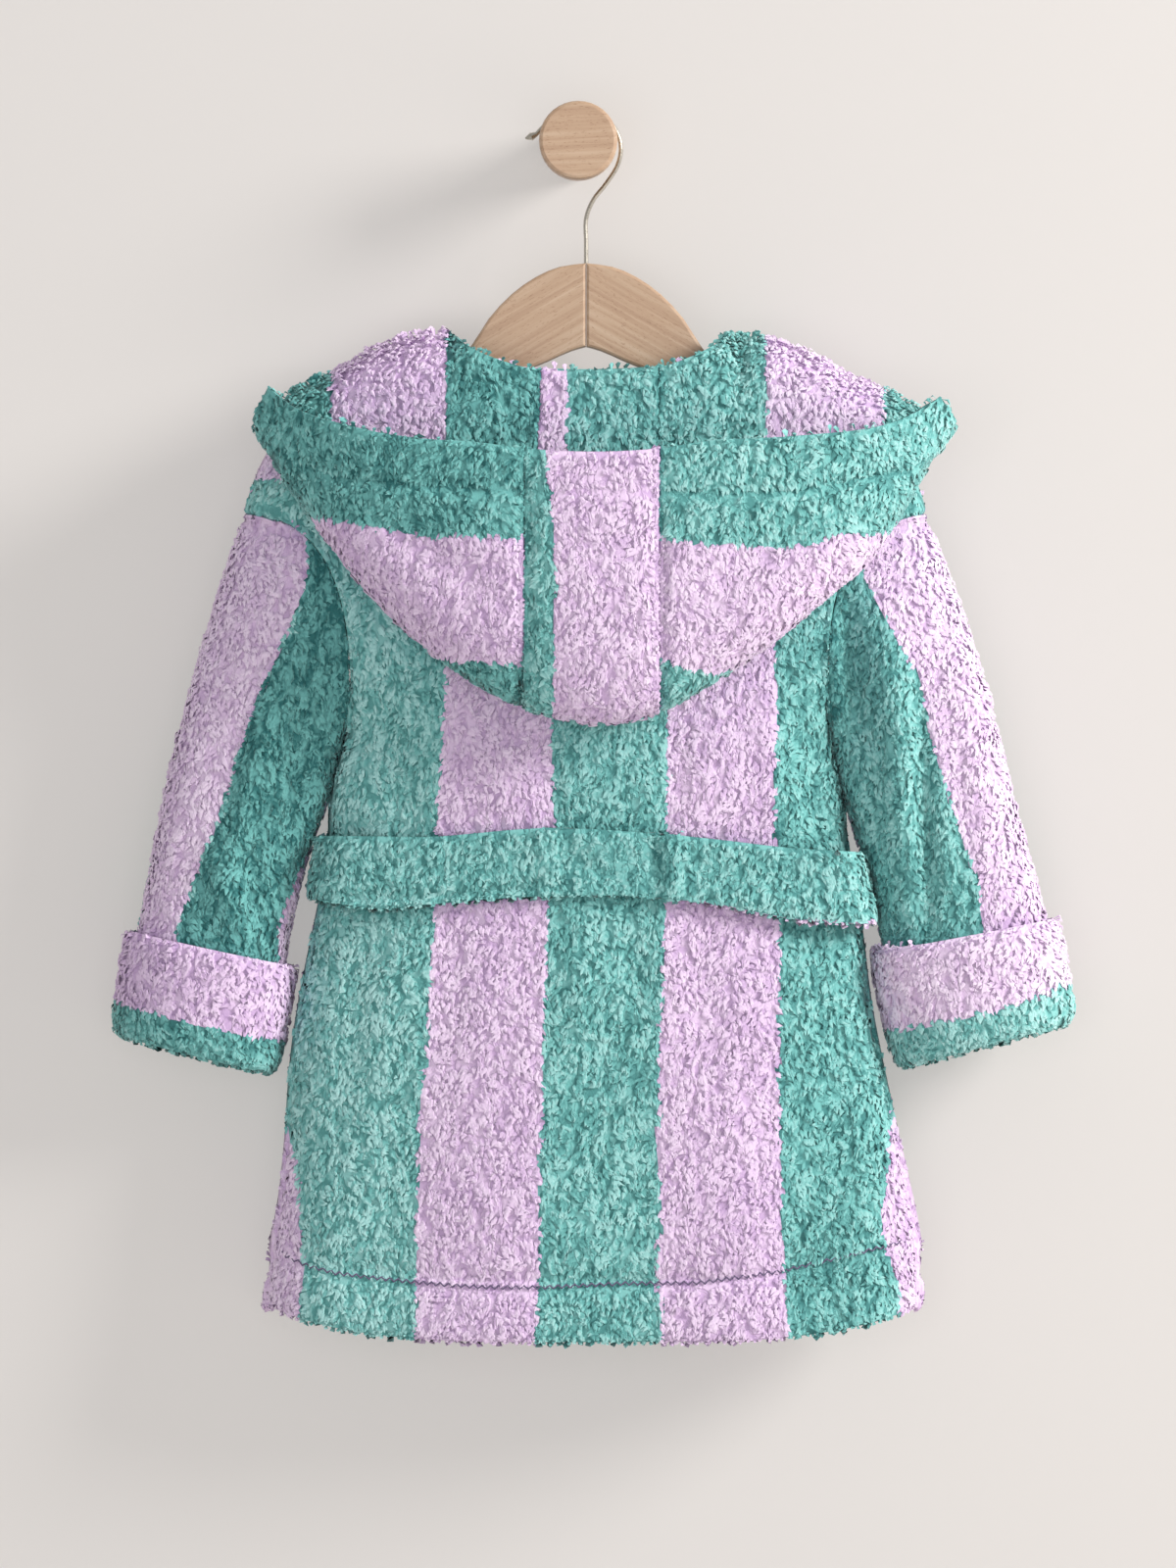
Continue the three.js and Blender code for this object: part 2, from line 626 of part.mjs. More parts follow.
const NEAR_STATIONS = [0, 0.1, 0.24, 0.4, 0.56, 0.72, 0.84, 0.92, 0.97];
const FAR_ROWS = 10;
const LAPEL_ROWS = 6;
const OVER_BODY = CLOTH + 3; // the hood's middle line over the middle line of the cloth beneath
const HOOD_ROLL = 24;

const RIDGE = [...HOOD_LEFT].reverse().concat(HOOD_RIGHT).filter((r) => r.topX < -70 || r.topX > 75);

const hoodRidgeZ = (x) => {
  const overShoulder = ridgeZ(x) + OVER_BODY;
  if (Math.abs(x - MIDDLE) < NECK_HALF - 1) return overShoulder;
  return Math.max(overShoulder, read(RIDGE, "topX", x, "topZ"));
};

// y of the hood where it lies on the gown's back or on its fronts, under the top of its own section.
function hugY(x, z, front, topZ) {
  const body = front ? fullFrontDepth(x, z, x > MIDDLE, LAP_REACH) : fullBackDepth(x, z);
  const depth = (front ? 1 : -1) * (body + OVER_BODY);
  const ridge = Math.max(topZ, front ? hoodRidgeZ(x) : ridgeZ(x) + OVER_BODY);
  return HANG_Y + depth * rolled(ridge - z, HOOD_ROLL);
}

// Keeps the rows behind the fold outside the gown's own cloth, under the ridge of their own column.
function layOnBody(grid) {
  const first = NEAR_STATIONS.length;
  grid[first + FAR_ROWS].forEach((top, j) => {
    for (const row of grid.slice(first)) {
      const p = row[j];
      if (p.y > HANG_Y) p.y = Math.max(p.y, hugY(p.x, p.z, true, top.z));
      else p.y = Math.min(p.y, hugY(p.x, p.z, false, top.z));
    }
  });
}

// Points at even distances on a path that is finest at its ends, where it turns over an edge.
function spaced(path, count) {
  const eased = Array.from({ length: 61 }, (_, k) => path((1 - Math.cos((Math.PI * k) / 60)) / 2));
  const line = new THREE.CatmullRomCurve3(eased);
  line.arcLengthDivisions = 600;
  return line.getSpacedPoints(count);
}

// One section from the rim, round the fold, to the ridge, and on to the neckline in front.
function hoodSection(row, depth, end, side) {
  const near = NEAR_STATIONS.map((w) => {
    const belly = lerp(depth.rim, depth.belly, Math.min(w * 2, 1));
    const y = depth.fold + (belly - depth.fold) * Math.sqrt(1 - w ** 4);
    return point(lerp(row.rimX, row.foldX, w), y, lerp(row.rimZ, row.foldZ, w));
  });
  const far = (w) => {
    const [x, z] = [lerp(row.foldX, row.topX, w), lerp(row.foldZ, row.topZ, w)];
    const y = lerp(depth.fold, hugY(x, z, false, row.topZ), Math.sqrt(1 - (1 - w) ** 4));
    return point(x, y, z);
  };
  const lapel = (w) => {
    const [x, z] = [lerp(row.topX, MIDDLE + side * end.out, w), lerp(row.topZ, end.z, w)];
    return point(x, hugY(x, z, true, row.topZ), z);
  };
  const back = spaced((t) => far(t * end.ridgeAt), FAR_ROWS);
  const over = spaced(end.ridgeAt < 1 ? (t) => far(lerp(end.ridgeAt, 1, t)) : lapel, LAPEL_ROWS);
  return [...near, ...back, ...over.slice(1)];
}

function hood() {
  const side = (table, sign) => {
    return table.map((row, i) => hoodSection(row, HOOD_DEPTH[i], HOOD_ENDS[i], sign));
  };
  const left = side(HOOD_LEFT, -1).reverse();
  const right = side(HOOD_RIGHT, 1);
  const centre = hoodSection(HOOD_CENTRE, { rim: -136, belly: -138, fold: -106 }, HOOD_ENDS[0], 1);
  const sections = [...left, centre, ...right];
  const perSection = 2;
  const grid = refined(sections, perSection * (sections.length - 1));
  layOnBody(grid);
  const normals = gridNormals(grid);
  const seams = [(left.length - 1) * perSection, (left.length + 1) * perSection];
  const cut = (from, to) => {
    const points = grid.map((row) => row.slice(from, to + 1).map((p) => p.clone()));
    points.forEach((row) => {
      if (from > 0) row[0].add(row[1].clone().sub(row[0]).setLength(SEAM / 2));
      if (to < grid[0].length - 1) {
        const end = row.length - 1;
        row[end].add(row[end - 1].clone().sub(row[end]).setLength(SEAM / 2));
      }
    });
    const facing = normals.map((row) => row.slice(from, to + 1));
    return wall(points, facing);
  };
  add("hood_left", cut(0, seams[0]), TEAL);
  add("hood_centre", cut(seams[0], seams[1]), LILAC);
  add("hood_right", cut(seams[1], grid[0].length - 1), TEAL);
}

// ---- Belt, knot and tails

// A point of the body's outer face by angle from the left side seam: over the back to pi, then over
// the front.
function girth(angle, z) {
  const [left, right] = [sideX(-1, z), sideX(1, z)];
  const round = (v) => Math.sign(v) * Math.abs(v) ** (2 / OVAL);
  const x = (left + right) / 2 - ((right - left) / 2) * round(Math.cos(angle));
  const y = Math.sin(angle) > 0 ? HANG_Y - backDepth(x, z) : HANG_Y + frontDepth(x, z, true, LAP_REACH);
  return point(x, y, z);
}

function belt() {
  const [from, to, columns] = [-1.474, 4.628, 44];
  const grid = [0, 0.33, 0.67, 1].map((across) => {
    const row = [];
    for (let j = 0; j <= columns; j++) {
      const angle = lerp(from, to, j / columns);
      const guide = girth(angle, -416);
      const [top, bottom] = ["top", "bottom"].map((edge) => read(BELT_EDGES, "x", guide.x, edge));
      const z = lerp(top, bottom, across);
      const n = girth(angle + 0.02, z).sub(girth(angle - 0.02, z)).cross(point(0, 0, 1)).normalize();
      const off = HALF + CLEAR + BELT.thick / 2 + read(BELT_SLACK, "angle", angle, "off");
      row.push(girth(angle, z).addScaledVector(n, off));
    }
    return row;
  });
  return wall(grid, gridNormals(grid), BELT.thick / 2);
}

const frontFace = (x, z) => HANG_Y + frontDepth(x, z, true) + HALF;

function knot() {
  const { halfWidth, halfDepth, halfHeight, z, power } = KNOT;
  const cushion = new THREE.SphereGeometry(1, 16, 10);
  const places = cushion.getAttribute("position");
  const full = (v) => Math.sign(v) * Math.abs(v) ** power;
  for (let i = 0; i < places.count; i++) {
    places.setXYZ(i, full(places.getX(i)), full(places.getY(i)), full(places.getZ(i)));
  }
  cushion.scale(halfWidth, halfDepth, halfHeight);
  cushion.translate(MIDDLE, frontFace(MIDDLE, z) + CLEAR + halfDepth, z);
  return cushion;
}

// A tail comes gathered out of the knot's lower edge and hangs flat on the fronts.
function tail(side) {
  const rows = [];
  for (let i = 0; i <= 8; i++) {
    const down = (i / 8) ** 1.5;
    const z = KNOT.z - KNOT.halfHeight - 1 - BELT.tailLength * down;
    const centre = MIDDLE + side * lerp(11.5, 34, Math.sqrt(down));
    const width = lerp(19, BELT.tailWidth, smoothstep(down, 0, 0.25));
    rows.push(
      [-1, -0.5, 0, 0.5, 1].map((s) => {
        const x = centre + (s * width) / 2;
        return point(x, frontFace(x, z) + CLEAR + BELT.thick / 2 + 0.8, z);
      }),
    );
  }
  return wall(rows, gridNormals(rows), BELT.thick / 2);
}

// ---- Patch pockets on the fronts

const POCKET = { top: -486, bottom: -590, from: 0.985, to: 0.495 };

function pocket(side) {
  const rows = [];
  for (let i = 0; i <= 5; i++) {
    const z = lerp(POCKET.top, POCKET.bottom, i / 5);
    rows.push(
      [0, 0.08, 0.2, 0.4, 0.6, 0.8, 1].map((t) => {
        const place = lowerPlace(side * lerp(POCKET.from, POCKET.to, t), z);
        return point(place.x, HANG_Y + frontDepth(place.x, place.z, side > 0), place.z);
      }),
    );
  }
  const normals = gridNormals(rows);
  normals.forEach((row) => row.forEach((n) => n.y < 0 && n.negate()));
  const out = CLOTH + 1.6 * CLEAR;
  const grid = rows.map((row, i) => row.map((p, j) => p.clone().addScaledVector(normals[i][j], out)));
  return wall(grid, normals);
}

// ---- Hanger, hook and peg

// One arm of the hanger: half of its outline, cut at the mitre in the middle.
function arm(side) {
  const outline = new THREE.Shape();
  const place = ({ out, z }) => new THREE.Vector2(side * (out + SEAM / 2), z);
  const top = new THREE.SplineCurve(HANGER_TOP.map(place)).getPoints(18);
  const under = new THREE.SplineCurve(HANGER_UNDER.map(place)).getPoints(16);
  outline.setFromPoints([...top, ...under]);
  const bevel = 1.6;
  const flat = ARM_THICK - 2 * bevel;
  const geometry = new THREE.ExtrudeGeometry(outline, {
    depth: flat,
    bevelThickness: bevel,
    bevelSize: bevel,
    bevelOffset: -bevel,
    bevelSegments: 2,
  });
  geometry.deleteAttribute("uv");
  geometry.deleteAttribute("normal");
  geometry.translate(0, 0, -flat / 2);
  geometry.rotateX(Math.PI / 2);
  geometry.translate(MIDDLE + 0.5, HANG_Y, 0);
  return geometry;
}

function hook() {
  const line = new THREE.CatmullRomCurve3(HOOK_PATH.map(({ x, z }) => point(x, HANG_Y, z)));
  const [sides, steps] = [8, 40];
  const rings = [];
  for (let i = 0; i <= steps; i++) {
    const t = i / steps;
    const [p, along] = [line.getPointAt(t), line.getTangentAt(t)];
    const across = along.clone().cross(point(0, 1, 0)).normalize();
    const left = (1 - t) * line.getLength();
    const ball = Math.sqrt(Math.max(HOOK_BALL ** 2 - (left - HOOK_BALL) ** 2, TIP_FLAT ** 2));
    const radius = left < 2 * HOOK_BALL ? ball : WIRE / 2;
    rings.push(
      Array.from({ length: sides }, (_, k) => {
        const angle = (2 * Math.PI * k) / sides;
        return p
          .clone()
          .addScaledVector(across, radius * Math.cos(angle))
          .addScaledVector(point(0, 1, 0), radius * Math.sin(angle));
      }),
    );
  }
  const corners = [...rings.flat(), line.getPointAt(0), line.getPointAt(1)];
  const faces = [];
  const at = (i, k) => i * sides + (k % sides);
  for (let k = 0; k < sides; k++) {
    for (let i = 0; i < steps; i++) {
      faces.push([at(i, k), at(i + 1, k), at(i + 1, k + 1)], [at(i, k), at(i + 1, k + 1), at(i, k + 1)]);
    }
    faces.push([corners.length - 2, at(0, k), at(0, k + 1)]);
    faces.push([corners.length - 1, at(steps, k + 1), at(steps, k)]);
  }
  return solid(corners, faces);
}

// A turned piece on the peg's axis, from its profile of radius and distance from the wall.
function turned(profile) {
  const geometry = new THREE.LatheGeometry(profile.map(([r, y]) => new THREE.Vector2(r, y)), 36);
  geometry.rotateX(Math.PI);
  return geometry;
}

function peg() {
  const { neckRadius, headRadius, headFrom, headTo, edge } = PEG;
  const neckEnd = -headFrom - SEAM;
  add("peg_neck", turned([[0, 0], [neckRadius, 0], [neckRadius, neckEnd], [0, neckEnd]]), BEECH);
  const [start, end] = [-headFrom, -headTo];
  const inner = headRadius - edge;
  const arc = [0, 1, 2].map((k) => [edge * Math.cos((Math.PI * k) / 4), edge * Math.sin((Math.PI * k) / 4)]);
  const rim = arc.map(([a, b]) => [inner + a, end - edge + b]);
  const back = arc.map(([a, b]) => [inner + b, start + edge - a]);
  add("peg_head", turned([[0, start], ...back, ...rim, [0, end]]), BEECH);
}

// ---- The part

add("back", backPanel(), TEAL);
add("front_left", frontPanel(-1, false), LILAC);
add("front_right", frontPanel(1, true), LILAC);
add("sleeve_left", sleeve(-1, SLEEVE_LEFT, CUFF_LEFT), LILAC);
add("sleeve_right", sleeve(1, SLEEVE_RIGHT, CUFF_RIGHT), LILAC);
add("cuff_left", cuff(CUFF_LEFT), LILAC);
add("cuff_right", cuff(CUFF_RIGHT), LILAC);
hood();
add("belt", belt(), TEAL);
add("belt_knot", knot(), TEAL);
add("belt_tail_left", tail(-1), TEAL);
add("belt_tail_right", tail(1), TEAL);
add("pocket_left", pocket(-1), TEAL);
add("pocket_right", pocket(1), TEAL);
add("hanger_left", arm(-1), BEECH);
add("hanger_right", arm(1), BEECH);
add("hook", hook(), NICKEL);
peg();

export default gown;
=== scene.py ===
# %% [markdown]
# A child's hooded dressing gown in deep pile fleece, hung with its back outwards on a small beech
# hanger. The cloth is knitted in wide teal and lilac stripes and brushed into short curly locks on
# both faces. The solids of the frame are walls as thick as the cloth with its pile. Here each wall
# becomes a thinner backing with soft creases, and locks of pile grow out of it to the wall's faces.
# The whole scene is in metres. Tables are in millimetres, because that is how a pattern is drawn.

import json

import bmesh
import bpy
import numpy as np
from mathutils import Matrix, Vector
from mathutils.bvhtree import BVHTree
from mathutils.kdtree import KDTree


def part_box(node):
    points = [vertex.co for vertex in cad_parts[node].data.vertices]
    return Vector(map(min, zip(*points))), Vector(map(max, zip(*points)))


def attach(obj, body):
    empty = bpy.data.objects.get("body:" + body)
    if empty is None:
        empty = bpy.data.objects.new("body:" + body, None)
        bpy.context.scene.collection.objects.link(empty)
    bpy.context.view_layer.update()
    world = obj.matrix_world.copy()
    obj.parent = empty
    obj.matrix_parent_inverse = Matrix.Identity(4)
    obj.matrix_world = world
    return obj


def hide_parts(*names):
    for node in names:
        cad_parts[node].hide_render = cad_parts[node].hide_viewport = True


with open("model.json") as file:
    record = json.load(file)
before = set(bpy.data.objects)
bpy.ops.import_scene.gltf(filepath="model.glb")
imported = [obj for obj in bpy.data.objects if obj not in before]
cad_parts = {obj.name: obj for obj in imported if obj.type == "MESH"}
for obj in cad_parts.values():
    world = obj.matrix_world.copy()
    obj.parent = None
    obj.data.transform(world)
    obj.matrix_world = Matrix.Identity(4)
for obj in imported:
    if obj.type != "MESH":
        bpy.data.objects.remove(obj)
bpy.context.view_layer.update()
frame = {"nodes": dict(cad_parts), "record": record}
MM = 0.001

# %% [markdown]
# Colours are picked as sRGB hex values, as on a shade card, and Blender's shaders want linear light.
# One function turns them. A second one adds any node with its options, constants and links, so a
# material reads as a short list of what feeds what.

# %% Colours and nodes
def linear(shade):
    parts = [int(shade[i:i + 2], 16) / 255 for i in (1, 3, 5)]
    return tuple(p / 12.92 if p <= 0.04045 else ((p + 0.055) / 1.055) ** 2.4 for p in parts) + (1.0,)


def add_node(tree, kind, values=None, links=None, **options):
    made = tree.nodes.new(kind)
    for name, value in options.items():
        setattr(made, name, value)
    for name, value in (values or {}).items():
        made.inputs[name].default_value = value
    for name, source in (links or {}).items():
        tree.links.new(source, made.inputs[name])
    return made


def new_material(name, values):
    material = bpy.data.materials.new(name)
    material.use_nodes = True
    shader = material.node_tree.nodes["Principled BSDF"]
    for socket, value in values.items():
        shader.inputs[socket].default_value = value
    return material, material.node_tree, shader


def set_ramp(ramp, stops):
    while len(ramp.elements) < len(stops):
        ramp.elements.new(0.5)
    for element, (place, colour) in zip(ramp.elements, stops):
        element.position = place
        element.color = colour


print("teal in linear light:", [round(c, 3) for c in linear("#5AA598")])

# %% [markdown]
# Teddy fleece is polyester knitted with long loops that are cut, curled by heat and brushed. It has
# no gloss, but light that grazes it is caught by the fibre ends, which sheen gives. Locks are painted
# darker near the backing, where they shade each other, and paler at their tips: painted shade. Every
# piece carries a colour attribute: red is 1 on a teal stripe and 0 on a lilac one, green is painted
# light that goes from 0 at the backing to 1 at a lock's tip, lower where a piece covers the cloth or a
# seam holds the pile down, and blue is a tone of its own for each lock, with each panel's painted light
# and shade and painted shade under covering pieces. One relief is laid over backing and locks alike,
# so that both read as one pile: curls 3 to 4 mm wide and longer than broad, and strands about 1 mm
# wide on them. A real fibre is 0.02 mm thick, which wouldn't show.

# %% Curly polyester fleece
# The ramps run from the painted shade deep among the locks to the pale tips; teal and lilac are the dyes.
PILE_SHADES = {
    "teal": [(0.2, "#2C6E6F"), (0.5, "#73BBB8"), (0.84, "#B4E6E4")],
    "lilac": [(0.2, "#C2A5D0"), (0.44, "#DFC6E8"), (0.84, "#F2E3F8")],
}
BEND = 7 * MM  # how far the curls wander from an even pattern
CURL_LENGTH = 0.42  # pattern cells along the cloth for each one across it, so that curls are long
CURLS_PER_M = 215.0
STRANDS_PER_M = 900.0
RELIEF_DEPTH = 0.5 * MM
PALER = {"strand": 0.25, "reach": 0.44, "tone": 0.2, "relief": 0.24}  # what each adds to the place on the colour ramp: reach and relief add painted shade, and tone adds each lock's own tone with painted shade
fleece, tree, shader = new_material(
    "brushed polyester fleece",
    {"Roughness": 0.95, "Specular IOR Level": 0.2, "Sheen Weight": 0.2, "Sheen Roughness": 0.6,
     "Sheen Tint": linear("#F2EDF3")},
)
dye_and_painted_shade = add_node(tree, "ShaderNodeAttribute", attribute_name="dye_and_painted_shade")
parts = add_node(tree, "ShaderNodeSeparateColor", links={"Color": dye_and_painted_shade.outputs["Color"]})
place = add_node(tree, "ShaderNodeTexCoord").outputs["Object"]
wander = add_node(tree, "ShaderNodeTexNoise", {"Scale": 130.0, "Detail": 2.0}, {"Vector": place})
bent = add_node(tree, "ShaderNodeVectorMath", {1: (BEND,) * 3}, {0: wander.outputs["Color"], 2: place},
                operation="MULTIPLY_ADD")
along = add_node(tree, "ShaderNodeMapping", {"Scale": (1.0, 1.0, CURL_LENGTH)}, {"Vector": bent.outputs[0]})
curls = add_node(tree, "ShaderNodeTexNoise", {"Scale": CURLS_PER_M, "Detail": 1.0, "Distortion": 0.9},
                 {"Vector": along.outputs[0]})
strands = add_node(tree, "ShaderNodeTexNoise", {"Scale": STRANDS_PER_M, "Detail": 1.0},
                   {"Vector": along.outputs[0]})
ridges = add_node(tree, "ShaderNodeMapRange", {"From Min": 0.36, "From Max": 0.6},
                  {"Value": curls.outputs["Fac"]}, interpolation_type="SMOOTHSTEP")


def weighted(name, source, added):
    """A share of one value, added to another value."""
    return add_node(tree, "ShaderNodeMath", {1: PALER[name]}, {0: source, 2: added}, operation="MULTIPLY_ADD")


relief = weighted("strand", strands.outputs["Fac"], ridges.outputs[0])
# Painted shade: green makes each lock darker at its root and paler at its tip.
height = add_node(tree, "ShaderNodeMath", {1: PALER["reach"]}, {0: parts.outputs["Green"]},
                  operation="MULTIPLY")
toned = weighted("tone", parts.outputs["Blue"], height.outputs[0])
# Painted shade: the relief also makes the colour darker in its hollows.
level = weighted("relief", relief.outputs[0], toned.outputs[0])
shades = {}
for name, stops in PILE_SHADES.items():
    shades[name] = add_node(tree, "ShaderNodeValToRGB", links={"Fac": level.outputs[0]})
    set_ramp(shades[name].color_ramp, [(stop, linear(shade)) for stop, shade in stops])
is_teal = add_node(tree, "ShaderNodeMath", {1: 0.5}, {0: parts.outputs["Red"]}, operation="GREATER_THAN")
two_dyes = {0: is_teal.outputs[0], 6: shades["lilac"].outputs[0], 7: shades["teal"].outputs[0]}
colour = add_node(tree, "ShaderNodeMix", links=two_dyes, data_type="RGBA")
bump = add_node(tree, "ShaderNodeBump", {"Strength": 1.0, "Distance": RELIEF_DEPTH},
                {"Height": relief.outputs[0]})
tree.links.new(colour.outputs[2], shader.inputs["Base Color"])
tree.links.new(bump.outputs[0], shader.inputs["Normal"])
print("made", fleece.name)

# %% [markdown]
# The hanger and the peg are steamed beech, sawn, turned and sealed with a thin satin lacquer. Beech
# has a pale pinkish ground, fine lines of growth a few millimetres apart along the grain, and short
# dark flecks 1 to 2 mm long. A noise that is stretched along the grain gives the lines. The grain
# follows each arm of the hanger, so every piece turns the same pattern by its own angle.

# %% Satin beech
SATIN = {"Roughness": 0.48, "Coat Weight": 0.15, "Coat Roughness": 0.35}
GROWTH_PER_M = (9.0, 200.0, 330.0)  # along the grain, into the wall and across the grain
FLECKS_PER_M = (420.0, 1500.0, 2600.0)
BEECH_GROUND = [(0.3, "#AC8D73"), (0.5, "#BA9D82"), (0.72, "#C6AD94")]
BEECH_FLECK = [(0.27, "#B08A64"), (0.36, "#FFFFFF")]


def beech(name, grain_angle):
    material, tree, shader = new_material(name, SATIN)
    place = add_node(tree, "ShaderNodeTexCoord").outputs["Object"]
    turned = add_node(tree, "ShaderNodeMapping", {"Rotation": (0.0, grain_angle, 0.0)}, {"Vector": place})
    lines = add_node(tree, "ShaderNodeMapping", {"Scale": GROWTH_PER_M}, {"Vector": turned.outputs[0]})
    growth = add_node(tree, "ShaderNodeTexNoise", {"Scale": 1.0, "Detail": 4.0, "Distortion": 0.6},
                      {"Vector": lines.outputs[0]})
    ground = add_node(tree, "ShaderNodeValToRGB", links={"Fac": growth.outputs["Fac"]})
    set_ramp(ground.color_ramp, [(stop, linear(shade)) for stop, shade in BEECH_GROUND])
    short = add_node(tree, "ShaderNodeMapping", {"Scale": FLECKS_PER_M}, {"Vector": turned.outputs[0]})
    specks = add_node(tree, "ShaderNodeTexNoise", {"Scale": 1.0, "Detail": 1.0},
                      {"Vector": short.outputs[0]})
    fleck = add_node(tree, "ShaderNodeValToRGB", links={"Fac": specks.outputs["Fac"]})
    set_ramp(fleck.color_ramp, [(stop, linear(shade)) for stop, shade in BEECH_FLECK])
    mixed = add_node(tree, "ShaderNodeMix", {0: 0.55}, {6: ground.outputs[0], 7: fleck.outputs[0]},
                     data_type="RGBA", blend_type="MULTIPLY")
    bump = add_node(tree, "ShaderNodeBump", {"Strength": 0.25, "Distance": 0.15 * MM},
                    {"Height": growth.outputs["Fac"]})
    tree.links.new(mixed.outputs[2], shader.inputs["Base Color"])
    tree.links.new(bump.outputs[0], shader.inputs["Normal"])
    return material


ARM_SLOPE = 0.52  # radians: the grain falls outwards along each arm
WOODS = {
    "hanger_left": beech("satin beech, left arm", ARM_SLOPE),
    "hanger_right": beech("satin beech, right arm", -ARM_SLOPE),
    "peg_head": beech("satin beech, turned head", 0.04),
    "peg_neck": beech("satin beech, turned neck", 0.0),
}
print("woods:", len(WOODS))

# %% [markdown]
# The hook is drawn steel wire, nickel plated. Plating over drawn wire keeps faint lines along its
# length, so its gloss is soft. Nickel is a warmer grey than chrome.

# %% Nickel plated wire
nickel, tree, shader = new_material(
    "nickel plated steel wire", {"Metallic": 1.0, "Roughness": 0.28, "Base Color": linear("#C8C3B8")},
)
place = add_node(tree, "ShaderNodeTexCoord").outputs["Object"]
lines = add_node(tree, "ShaderNodeTexNoise", {"Scale": 900.0, "Detail": 2.0}, {"Vector": place})
spread = add_node(tree, "ShaderNodeMapRange", {"To Min": 0.2, "To Max": 0.4},
                  {"Value": lines.outputs["Fac"]})
tree.links.new(spread.outputs[0], shader.inputs["Roughness"])


def finish_node(name, material):
    for slot in frame["nodes"][name].material_slots:
        slot.link = "OBJECT"
        slot.material = material


for name, wood in WOODS.items():
    finish_node(name, wood)
finish_node("hook", nickel)
print("finished:", list(WOODS), "hook")

# %% [markdown]
# The stripes are cut with the cloth, so they run down the back and the sleeves, along the rim on the
# hood, and round the cuffs. Each table gives one stripe edge as it lies on the hung gown, in
# millimetres from the peg's middle: (height z, sideways x), or (sideways x, height z) for those that
# run across. A lock takes its colour from the side of the edges on which its root lies.

# %% Stripe edges
BACK_EDGES = [
    [(-200, -260), (-545, -200), (-560, -176), (-576, -163.5), (-617, -159.6), (-643, -158), (-690, -160)],
    [(-120, -66), (-335, -77.3), (-397, -81.8), (-453, -82.9), (-526, -87.4), (-567, -91.8), (-691, -93.5)],
    [(-120, -10), (-335, -15.1), (-397, -13.4), (-453, -17.9), (-567, -21.3), (-651, -21.8), (-691, -24.6)],
    [(-120, 54), (-335, 51.5), (-453, 49.3), (-526, 45.9), (-651, 45.9), (-691, 47.6)],
    [(-120, 110), (-335, 113.7), (-397, 112.6), (-453, 115.4), (-567, 115.4), (-651, 117.6), (-691, 121)],
    [(-545, 200), (-560, 180), (-588, 178), (-610, 174), (-630, 175), (-653, 183), (-690, 187)],
]
FRONT_EDGES = [[(0, x), (-700, x * 1.06)] for x in (-142, -77, -12, 53, 118, 160)]
SLEEVE_EDGE = {
    "left": [(-249, -155.7), (-265, -159), (-288, -170), (-309, -179), (-354, -195.4), (-389, -206.6),
             (-432, -223), (-452, -230.7)],
    "right": [(-249, 163.5), (-288, 184), (-313, 196.6), (-350, 204.4), (-386, 216), (-427, 229.6),
              (-448, 232)],
}
CUFF_EDGE = {
    "left": [(-270, -491.7), (-246, -499.5), (-223, -505), (-189, -513), (-166, -518)],
    "right": [(175, -510.7), (209, -504), (244, -497), (284, -484.4)],
}
RIM_STRIPE = {
    "left": [(-156, -216), (-130, -222), (-101, -226.8), (-80, -229), (-31, -230.7)],
    "right": [(46, -231.3), (77, -234), (111, -235.8), (134, -233.5), (145, -228.5), (179, -226.8)],
}
BAG_STRIPE = {
    "left": [(-86, -296.8), (-66, -299.6), (-31, -302.4)],
    "right": [(46, -298), (59, -303.5), (77, -305.8), (99, -301.8)],
}
INNER_HOOD_EDGES = {"left": (-142, -75.6), "right": (107.5, 175.3)}
GUSSET_EDGE = [(-178, -17.9), (-262, -11.8), (-339, -14.6)]
BELT_FOOT = [(-160, -432), (-113, -443), (-56, -438), (17, -435), (48, -437), (74, -440), (114, -449),
             (156, -452), (176, -449)]
SHOULDER = {"x": -150, "z": -194}  # beyond these the left shoulder is lilac again
SLEEVE_PLANE_Y = -44  # the sleeve's faces before this depth are seen
UNDER_SLEEVE = {"across": 58, "below": -380}  # past these the left sleeve's inner fold is lilac
HIDDEN_STRIPE = (-30, 40)  # across the sleeve's side that faces the wall
NEAR_WALL_Y = -104  # the hood's wall nearest the room lies before this depth at the middle
HOOD_MIDDLE_X = 8


def edge_at(rows, where):
    table = np.array(sorted(rows), dtype=float)
    return np.interp(where, table[:, 0], table[:, 1])


def side_of(name):
    return "left" if name.endswith("left") else "right"


def down_the_cloth(edges, points):
    passed = sum((points[:, 0] > edge_at(rows, points[:, 2])).astype(int) for rows in edges)
    return passed % 2 == 1


def on_sleeve(name, points):
    outwards = -1 if side_of(name) == "left" else 1
    edge = edge_at(SLEEVE_EDGE[side_of(name)], points[:, 2])
    inwards = -outwards * (points[:, 0] - edge)
    under = (inwards > UNDER_SLEEVE["across"]) & (points[:, 2] < UNDER_SLEEVE["below"]) & (outwards < 0)
    hidden = (inwards > HIDDEN_STRIPE[0]) & (inwards < HIDDEN_STRIPE[1])
    return np.where(points[:, 1] < SLEEVE_PLANE_Y, (inwards > 0) & ~under, hidden)


def on_cuff(name, points):
    return points[:, 2] < edge_at(CUFF_EDGE[side_of(name)], points[:, 0])


def near_wall(points):
    """The hood's wall nearest the room. It lies 22 mm deeper at the hood's outer tips."""
    aside = np.clip((np.abs(points[:, 0] - HOOD_MIDDLE_X) - 60) / 140, 0, 1)
    return points[:, 1] < NEAR_WALL_Y + 22 * aside


